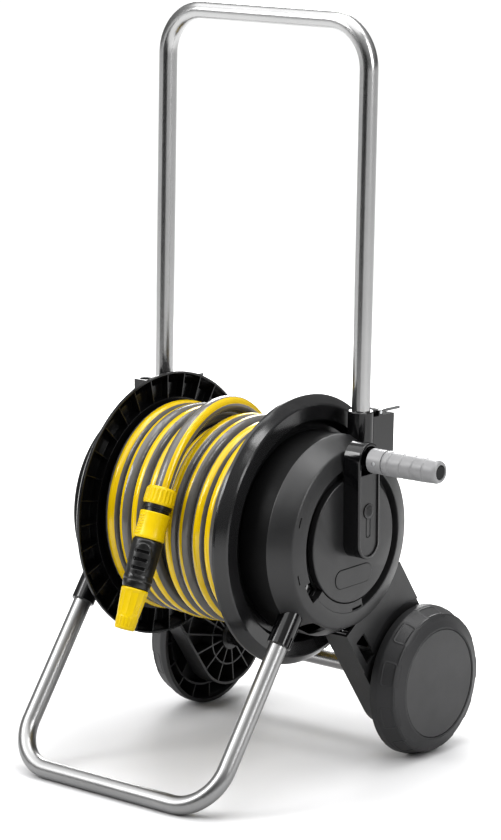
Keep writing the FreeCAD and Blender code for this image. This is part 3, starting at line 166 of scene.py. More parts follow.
def closed_surface(name: str, rings: np.ndarray, hoop: bool = False, flip: bool = False,
                   sharp: float = 32.0) -> Object:
    """Closed surface of quads through rings of points.

    Args:
        name: Name of the object.
        rings: Points as (ring, point on the ring, xyz), in metres.
        hoop: Join the last ring to the first, instead of a flat face over each end.
        flip: Turn the faces over.
        sharp: Angle in degrees above which an edge is crisp.

    Returns:
        The object.
    """
    rows, columns = rings.shape[:2]
    index = np.arange(rows * columns).reshape(rows, columns)
    low, high = (index, np.roll(index, -1, axis=0)) if hoop else (index[:-1], index[1:])
    quads = np.stack([low, np.roll(low, -1, axis=1), np.roll(high, -1, axis=1), high], axis=-1)
    faces = quads.reshape(-1, 4).tolist()
    if not hoop:
        faces += [index[0, ::-1].tolist(), index[-1].tolist()]
    if flip:
        faces = [face[::-1] for face in faces]
    return mesh_piece(name, rings, faces, sharp)


def eased_profile(corners: list[tuple[float, float, float]], gap: float) -> np.ndarray:
    """Profile through corners, each rounded by its own radius, with rows filled in on long runs.

    Formula: each corner is replaced by a quadratic curve that starts and ends the radius away from it.

    Args:
        corners: (station, radius, rounding) of each corner, in millimetres.
        gap: Largest distance between two rows.

    Returns:
        Array of (station, radius) rows.
    """
    data = np.array(corners, float)
    rows = [data[:1, :2]]
    t = np.linspace(0, 1, 5)[:, None]
    for before, here, after in zip(data, data[1:], data[2:]):
        back, ahead = before[:2] - here[:2], after[:2] - here[:2]
        back_run, ahead_run = np.linalg.norm(back), np.linalg.norm(ahead)
        reach = min(here[2], 0.45 * back_run, 0.45 * ahead_run)
        if reach <= 0:
            rows.append(here[None, :2])
            continue
        first = here[:2] + back / back_run * reach
        last = here[:2] + ahead / ahead_run * reach
        rows.append((1 - t) ** 2 * first + 2 * t * (1 - t) * here[:2] + t ** 2 * last)
    eased = np.concatenate([*rows, data[-1:, :2]])
    runs = np.linalg.norm(np.diff(eased, axis=0), axis=1)
    filled = [
        start + (end - start) * np.linspace(0, 1, max(1, math.ceil(run / gap)), endpoint=False)[:, None]
        for start, end, run in zip(eased, eased[1:], runs)
    ]
    return np.concatenate([*filled, eased[-1:]])


def turned_rings(profile: np.ndarray, around: np.ndarray, bulge: np.ndarray) -> np.ndarray:
    """Surface of revolution about local Z, with the radius changed point by point.

    Formula: x = (r + bulge) cos(a), y = (r + bulge) sin(a), z = station.

    Args:
        profile: (station, radius) rows.
        around: Angles of the columns, in radians.
        bulge: Extra radius as (row, column).

    Returns:
        Points as (row, column, xyz), in millimetres.
    """
    radius = profile[:, 1:] + bulge
    station = np.broadcast_to(profile[:, :1], radius.shape)
    return np.stack([radius * np.cos(around), radius * np.sin(around), station], axis=-1)


def carried_oval(route: np.ndarray, side: np.ndarray, wide: float, high: float, count: int) -> np.ndarray:
    """Oval carried along a flat route.

    Formula: (u, v) = route + wide cos(a) side, and w = high sin(a).

    Args:
        route: Centre line as (point, uv), in millimetres.
        side: Unit sideways direction at each point of the route.
        wide: Half width of the oval in the plane of the route.
        high: Half height of the oval across that plane.
        count: Points round the oval.

    Returns:
        Points as (point, point on the oval, uvw).
    """
    around = np.linspace(0, FULL_TURN, count, endpoint=False)
    flat = route[:, None, :] + wide * np.cos(around)[None, :, None] * side[:, None, :]
    rise = np.broadcast_to(high * np.sin(around), flat.shape[:2])
    return np.concatenate([flat, rise[..., None]], axis=-1)


def smooth_step(value: np.ndarray, low: float, high: float) -> np.ndarray:
    """Rise smoothly from 0 at low to 1 at high."""
    t = np.clip((value - low) / (high - low), 0, 1)
    return t * t * (3 - 2 * t)


def window(value: np.ndarray, centre: float, half: float, edge: float) -> np.ndarray:
    """1 within half of a centre, 0 outside, with soft edges."""
    return 1 - smooth_step(np.abs(value - centre), half - edge, half + edge)


def hump(value: np.ndarray, height: float, width: float) -> np.ndarray:
    """Round ridge of a height where a value is 0."""
    return height * np.exp(-((value / width) ** 2))


def between(value: np.ndarray, span: tuple[float, float]) -> np.ndarray:
    """Whether each value is inside a span."""
    return (value > span[0]) & (value < span[1])


def skin_of(node: str, sharp: float) -> Object:
    """Smooth-shaded twin of a CAD node, with its corners welded.

    Args:
        node: Name of the node.
        sharp: Angle in degrees above which an edge is crisp.

    Returns:
        A new object of the same shape.
    """
    source = frame["nodes"][node].data
    points = np.empty(len(source.vertices) * 3)
    source.vertices.foreach_get("co", points)
    corners = np.empty(len(source.loops), int)
    source.loops.foreach_get("vertex_index", corners)
    points = points.reshape(-1, 3)
    unique, number = np.unique(np.round(points / WELD).astype(np.int64), axis=0, return_inverse=True)
    number = number.reshape(-1)
    welded = np.zeros((len(unique), 3))
    welded[number] = points
    triangles = number[corners].reshape(-1, 3)
    whole = (triangles[:, 0] != triangles[:, 1]) & (triangles[:, 1] != triangles[:, 2])
    whole &= triangles[:, 0] != triangles[:, 2]
    return mesh_piece(f"{node}_skin", welded, triangles[whole].tolist(), sharp)


# ---------------------------------------------------------------- finishes

class Recipe:
    """Node tree of one material, or of the world."""

    def __init__(self, owner: ID, shader: str = "Principled BSDF") -> None:
        """Start from the shader that new data comes with."""
        owner.use_nodes = True
        self.owner = owner
        self.tree = owner.node_tree
        self.shader = self.tree.nodes[shader]

    def add(self, kind: str, inputs: dict | None = None, **settings: object) -> Node:
        """Add a node.

        Args:
            kind: Type name of the node.
            inputs: Values or sockets for its inputs, by name or number.
            settings: Properties of the node.

        Returns:
            The node.
        """
        node = self.tree.nodes.new(kind)
        for key, value in settings.items():
            setattr(node, key, value)
        for key, value in (inputs or {}).items():
            self.feed(node.inputs[key], value)
        return node

    def feed(self, socket: NodeSocket, value: object) -> None:
        """Link a socket to another, or set its value."""
        if isinstance(value, NodeSocket):
            self.tree.links.new(value, socket)
        else:
            socket.default_value = value

    def maths(self, operation: str, *values: object) -> NodeSocket:
        """Result of a maths node."""
        return self.add("ShaderNodeMath", dict(enumerate(values)), operation=operation).outputs[0]

    def noise(self, where: NodeSocket, scale: float, detail: float = 3.0) -> NodeSocket:
        """Noise value at a place."""
        node = self.add("ShaderNodeTexNoise", {"Vector": where, "Scale": scale, "Detail": detail})
        return node.outputs["Fac"]

    def ramp(self, value: object, start: float, end: float, low: float = 0.0, high: float = 1.0,
             kind: str = "LINEAR") -> NodeSocket:
        """Value that goes from low to high while another goes from start to end."""
        limits = {"Value": value, "From Min": start, "From Max": end, "To Min": low, "To Max": high}
        return self.add("ShaderNodeMapRange", limits, interpolation_type=kind).outputs["Result"]

    def spread(self, value: NodeSocket, low: float, high: float) -> NodeSocket:
        """Noise value spread to a new range."""
        return self.ramp(value, 0.3, 0.7, low, high)

    def blend(self, share: object, first: object, second: object) -> NodeSocket:
        """Mix of two colours."""
        node = self.add("ShaderNodeMix", {0: share, 6: first, 7: second}, data_type="RGBA")
        return node.outputs[2]

    def place(self) -> NodeSocket:
        """Place on the piece, in metres."""
        return self.add("ShaderNodeTexCoord").outputs["Object"]

    def soft_edges(self, radius: float) -> NodeSocket:
        """Normal that rounds the edges by a radius in millimetres."""
        return self.add("ShaderNodeBevel", {"Radius": radius * MM}, samples=4).outputs["Normal"]

    def edge_share(self, rounded: NodeSocket) -> NodeSocket:
        """How near an edge a point is, from the difference of the rounded and the plain normal."""
        plain = self.add("ShaderNodeNewGeometry").outputs["Normal"]
        same = self.add("ShaderNodeVectorMath", {0: rounded, 1: plain}, operation="DOT_PRODUCT")
        return self.ramp(same.outputs["Value"], 1.0, 0.75)

    def bump(self, height: object, strength: float, depth: float, under: NodeSocket) -> NodeSocket:
        """Normal raised by a height, over another normal."""
        inputs = {"Height": height, "Strength": strength, "Distance": depth * MM, "Normal": under}
        return self.add("ShaderNodeBump", inputs).outputs["Normal"]

    def surface(self, **inputs: object) -> ID:
        """Feed inputs of the shader, with underscores for spaces, and return what was built."""
        for key, value in inputs.items():
            self.feed(self.shader.inputs[key.replace("_", " ")], value)
        return self.owner


def rgba(colour: tuple[float, float, float], factor: float = 1.0) -> tuple[float, float, float, float]:
    """Colour with alpha, made lighter or darker by a factor."""
    return (*(min(1.0, part * factor) for part in colour), 1.0)


@dataclass(frozen=True)
class Finish:
    """Material that is built once, by its name."""

    name: str

    def mix(self, recipe: Recipe) -> None:
        """Fill the node tree."""
        raise NotImplementedError

    def material(self) -> Material:
        """Return the material, which is built the first time."""
        if self.name not in bpy.data.materials:
            self.mix(Recipe(bpy.data.materials.new(self.name)))
        return bpy.data.materials[self.name]


@dataclass(frozen=True)
class Moulding(Finish):
    """Moulded plastic: even colour with slight clouding, fine grain, and edges painted lighter in patches,
    partly as wear and partly as painted highlight.
    """

    colour: tuple[float, float, float]
    rough: float
    feel: Feel = Feel.SATIN
    grain: float = 1500.0
    edge: float = 0.6
    edge_wear_and_highlight: float = 1.6
    specular: float = 0.5

    def mix(self, recipe: Recipe) -> None:
        """Mix colour, gloss and grain, with the lighter edges that stand for wear and for painted highlight.
        """
        place = recipe.place()
        rounded = recipe.soft_edges(self.edge)
        clouds = recipe.spread(recipe.noise(place, 14.0, 4.0), 0.0, 1.0)
        body = recipe.blend(clouds, rgba(self.colour, 0.88), rgba(self.colour, 1.12))
        # Lighter edges in patches: partly wear, partly painted highlight that stands in for the gloss on rims
        # and rib edges.
        worn_and_lit_patches = recipe.spread(recipe.noise(place, 90.0), 0.1, 0.7)
        worn_and_lit_edges = recipe.maths("MULTIPLY", recipe.edge_share(rounded), worn_and_lit_patches)
        recipe.surface(
            Base_Color=recipe.blend(worn_and_lit_edges, body, rgba(self.colour, self.edge_wear_and_highlight)),
            Roughness=recipe.spread(recipe.noise(place, 60.0, 5.0), self.rough - 0.035, self.rough + 0.035),
            Normal=recipe.bump(recipe.noise(place, self.grain, 2.0), self.feel.value, 0.3, rounded),
            Specular_IOR_Level=self.specular)


@dataclass(frozen=True)
class SteelFinish(Finish):
    """Satin steel tube or zinc-plated steel: fine grain in the gloss and faint clouding."""

    colour: tuple[float, float, float]
    rough: float
    grain: float = 250.0

    def mix(self, recipe: Recipe) -> None:
        """Mix colour and gloss."""
        place = recipe.place()
        clouds = recipe.spread(recipe.noise(place, 9.0, 3.0), 0.0, 1.0)
        gloss = recipe.noise(place, self.grain, 1.0)
        recipe.surface(
            Base_Color=recipe.blend(clouds, rgba(self.colour, 0.94), rgba(self.colour, 1.05)),
            Roughness=recipe.spread(gloss, self.rough - 0.01, self.rough + 0.01),
            Normal=recipe.soft_edges(0.3), Metallic=1.0)


@dataclass(frozen=True)
class HoseFinish(Finish):
    """Glossy hose: warm grey with broad and thin yellow stripes along it, over a faint braid."""

    name: str = "striped_hose"
    grey: tuple[float, float, float] = (0.112, 0.107, 0.100)
    yellow: tuple[float, float, float] = (0.58, 0.40, 0.002)
    # Centre and half width of each stripe, in turns of the hose.
    stripes: tuple[tuple[float, float], ...] = ((0.0, 0.074), (0.5, 0.036))
    rough: float = 0.14
    strands: int = 24
    pitches_per_metre: int = 200

    def mix(self, recipe: Recipe) -> None:
        """Mix the stripes. U runs round the hose from 0 to 1, and V along it in metres."""
        uv = recipe.add("ShaderNodeUVMap", uv_map="hose_uv").outputs["UV"]
        split = recipe.add("ShaderNodeSeparateXYZ", {"Vector": uv})
        around, along = split.outputs["X"], split.outputs["Y"]
        turn = recipe.maths("FRACT", around)
        striped: object = 0.0
        for centre, half in self.stripes:
            off = recipe.maths("WRAP", recipe.maths("SUBTRACT", turn, centre), 0.5, -0.5)
            stripe = recipe.ramp(recipe.maths("ABSOLUTE", off), half + 0.004, half - 0.004)
            striped = recipe.maths("MAXIMUM", striped, stripe)
        place = recipe.place()
        clouds = recipe.spread(recipe.noise(place, 30.0), 0.0, 1.0)
        grey = recipe.blend(clouds, rgba(self.grey, 0.85), rgba(self.grey, 1.15))
        yellow = recipe.blend(clouds, rgba(self.yellow, 0.94), rgba(self.yellow, 1.04))
        strand = recipe.maths("MULTIPLY", around, self.strands * FULL_TURN)
        pitch = recipe.maths("MULTIPLY", along, self.pitches_per_metre * FULL_TURN)
        left = recipe.maths("SINE", recipe.maths("ADD", strand, pitch))
        right = recipe.maths("SINE", recipe.maths("SUBTRACT", strand, pitch))
        plain = recipe.add("ShaderNodeNewGeometry").outputs["Normal"]
        recipe.surface(
            Base_Color=recipe.blend(striped, grey, yellow),
            Roughness=recipe.spread(recipe.noise(place, 120.0), self.rough - 0.04, self.rough + 0.05),
            Normal=recipe.bump(recipe.maths("MAXIMUM", left, right), 0.10, 0.12, plain))


HOUSING_BLACK = Moulding("housing_black", (0.0150, 0.0150, 0.0155), 0.38, Feel.GRAINED, edge_wear_and_highlight=2.2)
DISC_BLACK = Moulding("disc_black", (0.013, 0.013, 0.0135), 0.36, Feel.GRAINED, edge_wear_and_highlight=2.2)
RIM_BLACK = Moulding("rim_black", (0.011, 0.011, 0.0115), 0.16, edge_wear_and_highlight=3.0)
# The flange's rib edges are painted up to six times lighter: wear and painted highlight.
FLANGE_BLACK = Moulding("flange_black", (0.0030, 0.0030, 0.0033), 0.20, edge_wear_and_highlight=6.0, specular=0.35)
# Near-black matte used as painted shade: on the skirt behind the housing's rim, in the slots of the nozzle
# sleeve and in the groove lines on the crank.
PAINTED_SHADE_BLACK = Moulding("painted_shade_black", (0.0025, 0.0025, 0.0027), 0.50, edge_wear_and_highlight=1.5, specular=0.15)
SOCKET_BLACK = Moulding("socket_black", (0.004, 0.004, 0.0045), 0.11, Feel.POLISHED, edge_wear_and_highlight=3.0)
WHEEL_GREY = Moulding("wheel_grey", (0.017, 0.017, 0.018), 0.50, Feel.GRAINED, edge_wear_and_highlight=2.0)
CAP_GREY = Moulding("wheel_cap_grey", (0.022, 0.022, 0.023), 0.46, Feel.GRAINED, edge_wear_and_highlight=1.8)
LEVER_GREY = Moulding("lever_grey", (0.080, 0.080, 0.082), 0.30, edge_wear_and_highlight=1.5)
GRIP_GREY = Moulding("grip_grey", (0.19, 0.19, 0.193), 0.38, edge_wear_and_highlight=1.25)
PLUG_GREY = Moulding("plug_grey", (0.008, 0.008, 0.0085), 0.50, edge_wear_and_highlight=1.5, specular=0.2)
BRIGHT_YELLOW = Moulding("bright_yellow", (0.55, 0.39, 0.001), 0.30, edge_wear_and_highlight=1.05, specular=0.25)
SLEEVE_BLACK = Moulding("sleeve_black", (0.008, 0.008, 0.008), 0.30, edge_wear_and_highlight=3.0)
SEAL_BLACK = Moulding("seal_black", (0.010, 0.010, 0.010), 0.55)
TUBE_STEEL = SteelFinish("tube_steel", (0.37, 0.37, 0.37), 0.25)
# Darker copy of the tube steel for the foot loop: painted shade, as the foot reads darker than the handle
# under the studio light.
SHADED_FOOT_STEEL = SteelFinish("foot_steel_painted_shade", (0.29, 0.29, 0.29), 0.33)
ZINC_STEEL = SteelFinish("zinc_steel", (0.55, 0.56, 0.57), 0.32)


@dataclass
class SubAssembly:
    """Part of the cart that is built and dressed together."""

    made: list[Object] = field(default_factory=list)

    def keep(self, piece: Object, finish: Finish, *nodes: str, slot: str = "") -> Object:
        """Dress a new piece and let it stand for CAD nodes, or only ride with one.

        Args:
            piece: The piece, in place.
            finish: Its finish.
            nodes: CAD nodes that it stands for, the first of which names its body.
            slot: When not empty, the piece only rides with the body and hides no node; the name itself is not
                used.

        Returns:
            The piece.
        """
        piece.data.materials.append(finish.material())
        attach(piece, body_of(nodes[0]))
        if slot:
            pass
        else:
            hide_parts(*nodes)
        self.made.append(piece)
        log.info("%s: %s, %d faces", type(self).__name__, piece.name, len(piece.data.polygons))
        return piece

    def twin(self, finish: Finish, node: str, sharp: float = 18.0) -> Object:
        """Smooth twin of one CAD node in a finish, with edges crisp above an angle in degrees."""
        return self.keep(skin_of(node, sharp), finish, node)

    def dress(self, finish: Finish, *nodes: str) -> None:
        """Give the smooth twins of CAD nodes a finish."""
        for node in nodes:
            self.twin(finish, node)

    def repaint(self, piece: Object, finish: Finish, seat: Seat,
                chosen: Callable[[np.ndarray], np.ndarray]) -> None:
        """Give some faces of a dressed piece another finish.

        Args:
            piece: The piece.
            finish: The other finish.
            seat: Local frame of the face centres.
            chosen: Tells from face centres, in local millimetres, which faces change.
        """
        count = len(piece.data.polygons)
        centres, index = np.empty(count * 3), np.empty(count, np.int32)
        piece.data.polygons.foreach_get("center", centres)
        piece.data.polygons.foreach_get("material_index", index)
        index[chosen(seat.fetch(centres.reshape(-1, 3)))] = len(piece.data.materials)
        piece.data.materials.append(finish.material())
        piece.data.polygons.foreach_set("material_index", index)


# ---------------------------------------------------------------- sub-assemblies

@dataclass
class TubeFrame(SubAssembly):
    """Push handle, foot loop and axle of 20 mm steel tube."""

    radius: float = 10.0
    half_width: float = 140.0
    bend: float = 50.0
    handle_leg: float = 466.0
    foot_leg: float = 250.0

    def u_tube(self, name: str, leg: float, up: bool, seat: Seat) -> Object:
        """Bent tube: a circle carried along a U in the local XZ plane.

        Formula: the U is a leg, a quarter circle, a bar, a quarter circle and a leg, and a point of the tube
        is centre + r (cos(a) side + sin(a) Y).

        Args:
            name: Name of the object.
            leg: Length of each leg, measured from the bar.
            up: The bar is at the upper end.
            seat: Local frame, with its origin at the middle of the bar.

        Returns:
            The tube.
        """
        angles = np.linspace(0, math.pi / 2, 25)
        arc = np.stack([np.cos(angles), np.sin(angles)], axis=-1)
        depths = np.linspace(-leg, -self.bend, 12, endpoint=False)
        run = np.stack([np.full_like(depths, self.half_width), depths], axis=-1)
        half = np.concatenate([run, self.bend * arc + (self.half_width - self.bend, -self.bend)])
        half_side = np.concatenate([np.tile([1.0, 0.0], (len(run), 1)), arc])
        mirror, turned = np.array([-1.0, 1.0]), np.array([1.0, 1.0 if up else -1.0])
        centre = np.concatenate([half, (half * mirror)[::-1]]) * turned
        side = np.concatenate([half_side, (half_side * mirror)[::-1]]) * turned
        rings = carried_oval(centre, side, self.radius, self.radius, 48)[..., [0, 2, 1]]
        return closed_surface(name, seat.carry(rings), flip=not up)

    def build(self) -> None:
        """Build and dress the tubes and their fittings."""
        self.keep(self.u_tube("handle_u", self.handle_leg, True, HANDLE), TUBE_STEEL, "push_handle_tube")
        self.keep(self.u_tube("foot_u", self.foot_leg, False, FOOT), SHADED_FOOT_STEEL, "foot_tube")
        self.dress(TUBE_STEEL, "axle_tube")
        self.dress(ZINC_STEEL, "axle_retaining_clips", "clamp_pins", "frame_screws")
        self.dress(SLEEVE_BLACK, "handle_end_glides")


@dataclass
class SideFrames(SubAssembly):
    """Side mouldings with their sockets, levers and bushes."""

    tube_x: float = 140.0
    block_half: float = 19.0
    block_depth: tuple[float, float] = (-4.0, 60.0)
    block_height: tuple[float, float] = (-481.2, -400.0)
    # The skirt within these radii and this X from the middle is painted near-black as shade.
    skirt_radius: tuple[float, float] = (105.0, 109.8)
    skirt_end: float = 135.5

    def on_block(self, at: np.ndarray) -> np.ndarray:
        """Whether points are on the block behind a handle socket, in the handle's frame."""
        across = np.abs(np.abs(at[:, 0]) - self.tube_x) < self.block_half
        return across & between(at[:, 1], self.block_depth) & between(at[:, 2], self.block_height)

    def on_skirt(self, at: np.ndarray) -> np.ndarray:
        """Whether points are on the skirt behind the housing's rim, which is painted near-black as shade, in
        the reel's frame.
        """
        return between(np.hypot(at[:, 1], at[:, 2]), self.skirt_radius) & (np.abs(at[:, 0]) < self.skirt_end)

    def build(self) -> None:
        """Dress both sides."""
        for side in Side:
            moulding = self.twin(HOUSING_BLACK, f"side_frame_{side.value}")
            self.repaint(moulding, SOCKET_BLACK, HANDLE, self.on_block)
            # Painted shade on the skirt behind the housing's rim.
            self.repaint(moulding, PAINTED_SHADE_BLACK, REEL, self.on_skirt)
            self.dress(SOCKET_BLACK, f"handle_socket_{side.value}", f"foot_socket_{side.value}")
            self.dress(LEVER_GREY, f"clamp_lever_{side.value}")
            self.dress(DISC_BLACK, f"hub_bush_{side.value}")
        self.dress(HOUSING_BLACK, "hub_cover_left", "nozzle_holder")


@dataclass
class Wheels(SubAssembly):
    """Both wheels, their caps and the moulded tyres that close round them."""

    columns: int = 640
    tread_radius: float = 83.5
    shoulder_x: float = 183.9
    # The tread marks: how many, their middle, their half size across and along, and their corners.
    marks: int = 10
    mark_radius: float = 81.0
    mark_x: float = 175.3
    mark_half: tuple[float, float] = (3.6, 10.0)
    mark_round: float = 3.2
    # The left wheel is the right one reversed about this X from the middle.
    plane_x: float = 9.0

    def relief(self, station: np.ndarray, turn: np.ndarray) -> np.ndarray:
        """Raised lines on the tyre.

        Formula: a round ridge along the outline of each rounded tread mark, a shallow dish inside it, and a
        shoulder ridge that sinks away beside every mark.

        Args:
            station: X from the middle, in millimetres.
            turn: Angle round the wheel, in turns.

        Returns:
            Extra radius in millimetres.
        """
        arc = np.abs((np.mod(turn * self.marks, 1.0) - 0.5) * FULL_TURN * self.mark_radius / self.marks)
        across, along = np.abs(station - self.mark_x) - self.mark_half[0], arc - self.mark_half[1]
        outside = np.hypot(np.maximum(across, 0), np.maximum(along, 0))
        outline = outside + np.minimum(np.maximum(across, along), 0) - self.mark_round
        dish = 0.35 * smooth_step(-outline, 0.2, 1.6)
        shoulder = hump(station - self.shoulder_x + 0.6, 0.9, 1.1) * smooth_step(arc, 11.0, 14.0)
        return hump(outline, 0.55, 0.75) - dish + shoulder

    def tyre(self, side: Side) -> Object:
        """Closed skin round the tread and shoulder of a wheel.

        Formula: a closed outline of tread, cone, rounded shoulder and rim is turned about the axle, and the
        relief is added where the outline faces outward.

        Args:
            side: Side of the cart.

        Returns:
            The tyre.
        """
        outer = eased_profile([
            (156.4, 83.0, 0), (156.5, self.tread_radius, 0.1), (165.0, self.tread_radius, 2.0),
            (self.shoulder_x, 76.2, 2.6), (188.8, 62.7, 0)], 0.7)
        inner = np.array([(187.4, 62.9), (182.9, 74.6), (165.0, 82.4), (157.0, 82.5)])
        profile = np.concatenate([outer, inner])
        turn = np.linspace(0, 1, self.columns, endpoint=False)
        bulge = np.zeros((len(profile), self.columns))
        bulge[:len(outer)] = self.relief(outer[:, :1], turn) * smooth_step(outer[:, :1], 164.0, 167.0)
        rings = turned_rings(profile, turn * FULL_TURN, bulge)[..., [2, 0, 1]]
        if side is Side.LEFT:
            rings[..., 0] = 2 * self.plane_x - rings[..., 0]
        return closed_surface(f"tyre_{side.value}", AXLE.carry(rings), True, side is Side.LEFT, 50.0)

    def build(self) -> None:
        """Dress both sides."""
        for side in Side:
            wheel = f"wheel_{side.value}"
            self.dress(WHEEL_GREY, wheel)
            self.dress(CAP_GREY, f"wheel_cap_{side.value}")
            self.keep(self.tyre(side), WHEEL_GREY, wheel, slot="wheel_plastic")


@dataclass
class Drum(SubAssembly):
    """Core, flanges and hubs that carry the hose."""

    def build(self) -> None:
        """Dress the drum, with crisp bevels on the flanges."""
        self.twin(RIM_BLACK, "flange_right", 12.0)
        self.twin(FLANGE_BLACK, "flange_left", 12.0)
        self.dress(FLANGE_BLACK, "drum_core")
        self.dress(DISC_BLACK, "hub_shaft_left", "hub_shaft_right", "outlet_elbow")
        self.dress(ZINC_STEEL, "drum_screws")


@dataclass
class Crank(SubAssembly):
    """Disc, arm, folding grip and latch."""

    grip_start: float = 8.8
    grip_end: float = 78.5
    ring_stations: tuple[float, ...] = (17.5, 32.5, 47.5, 61.5)
    latch_radius: float = 7.0
    # Half width of the thin lines on the crank.
    line_half: float = 0.55

    def grip(self) -> Object:
        """Grip with finger rings.

        Formula: the radius falls slowly along the grip, swells a little between the rings, and at each ring
        drops in a narrow groove with a low lip beside it; the rings wander along the grip as they go round.
        """
        profile = eased_profile([
            (self.grip_start, 4.4, 0), (self.grip_start, 13.0, 1.2), (12.0, 13.6, 2.0), (17.5, 13.4, 1.0),
            (60.0, 12.9, 4.0), (64.0, 12.8, 2.0), (self.grip_end - 3.0, 12.4, 3.0),
            (self.grip_end, 10.8, 1.4), (self.grip_end, 8.0, 0.5), (self.grip_end - 2.0, 7.7, 0)], 0.35)
        around = np.linspace(0, FULL_TURN, 96, endpoint=False)
        station = profile[:, :1] + 1.2 * np.sin(2 * around) * window(profile[:, :1], 40.0, 20.0, 6.0)
        bulge = 0.15 * np.cos((station - 25.0) * FULL_TURN / 15.0) * window(station, 39.0, 24.0, 4.0)
        for ring in self.ring_stations:
            bulge = bulge - hump(station - ring, 0.45, 0.7) + hump(station - ring - 1.5, 0.25, 0.9)
        rings = turned_rings(profile, around, bulge * smooth_step(profile[:, 1:], 10.5, 11.8))
        return closed_surface("finger_grip", FOLD.carry(rings[..., [2, 0, 1]]), sharp=50.0)

    def latch_pad(self) -> Object:
        """Textured face of the latch: a low dome with crossed ridges, and a short skirt into the button.

        Formula: height = dome + ridge |sin(k(y+z)) sin(k(y-z))|, fading out towards the rim.
        """
        share = np.concatenate([np.linspace(0.02, 1.0, 26), [1.0, 0.98]])[:, None]
        around = np.linspace(0, FULL_TURN, 64, endpoint=False)
        y, z = self.latch_radius * share * np.cos(around), self.latch_radius * share * np.sin(around)
        ridges = np.abs(np.sin(1.3 * (y + z)) * np.sin(1.3 * (y - z))) * (1 - smooth_step(share, 0.7, 0.98))
        height = -0.1 + 0.35 * (1 - share ** 2) + 0.9 * ridges
        height[-2:] = [[-1.0], [-1.4]]
        rings = np.stack([height, y, z], axis=-1)
        return closed_surface("latch_pad", LATCH.carry(rings), flip=True, sharp=60.0)

    def latch_stem(self) -> Object:
        """Near-black U-shaped line below the latch: painted shade that stands in for a shallow groove.

        Formula: a flat oval carried down one side, round a half circle and up the other side of the stem.
        """
        half, top, low, cover = 3.3, 26.5, 9.0, 186.45
        angles = np.linspace(0, math.pi, 17)
        route = np.concatenate([
            [[-half, top], [-half, (top + low) / 2]],
            np.stack([-half * np.cos(angles), low - half * np.sin(angles)], axis=-1),
            [[half, (top + low) / 2], [half, top]]])
        run = np.gradient(route, axis=0)
        run /= np.linalg.norm(run, axis=1, keepdims=True)
        side = np.stack([-run[:, 1], run[:, 0]], axis=-1)
        rings = carried_oval(route, side, self.line_half, 0.16, 10)[..., [2, 0, 1]] + (cover, 0.0, 0.0)
        return closed_surface("latch_stem", REEL.carry(rings), sharp=60.0)

    def badge_line(self) -> Object:
        """Near-black line round the blank badge plate: painted shade that stands in for a groove.

        Formula: a small oval carried round a capsule, level on the disc.
        """
        half, radius, drop, disc = 21.0, 10.1, -40.0, 167.0
        angles = np.linspace(-math.pi / 2, math.pi / 2, 25)
        normal = np.stack([np.cos(angles), np.sin(angles)], axis=-1)
        cap = radius * normal + (half, 0.0)
        route, outward = np.concatenate([cap, -cap]), np.concatenate([normal, -normal])
        rings = carried_oval(route, outward, self.line_half, 0.30, 10)[..., [2, 0, 1]] + (disc, 0.0, drop)
        return closed_surface("badge_line", REEL.carry(rings), True, True, 60.0)

    def build(self) -> None:
        """Build and dress the crank."""
        self.dress(DISC_BLACK, "crank_disc", "badge_plate", "crank_cover")
        self.dress(SOCKET_BLACK, "crank_arm", "grip_hinge_tongue", "fold_latch_button")
        self.dress(GRIP_GREY, "grip_knuckle")
        self.dress(ZINC_STEEL, "grip_fold_pin", "grip_spindle", "fold_latch_spring")
        self.keep(self.grip(), GRIP_GREY, "crank_grip")
        self.dress(PLUG_GREY, "grip_end_plug")
        self.keep(self.latch_pad(), DISC_BLACK, "fold_latch_button", slot="drum_plastic")
        # The latch and badge lines are painted shade, standing in for grooves.
        self.keep(self.latch_stem(), PAINTED_SHADE_BLACK, "crank_cover", slot="drum_plastic")
        self.keep(self.badge_line(), PAINTED_SHADE_BLACK, "badge_plate", slot="drum_plastic")


@dataclass
class WaterInlet(SubAssembly):
    """Swivelling elbow on the left hub."""

    def build(self) -> None:
        """Dress the inlet."""
        self.dress(BRIGHT_YELLOW, "inlet_spigot")
        self.dress(SLEEVE_BLACK, "inlet_elbow")
        self.dress(SEAL_BLACK, "inlet_seals")


# The hose's free end round the coil: X from the middle, radius from the drum axis, angle above the front.
TAIL = ((-15, 110, 129), (-11, 120, 107.5), (-5, 128, 87.5), (0, 133, 69), (4, 135.6, 50.5), (5, 136.2, 32.9))


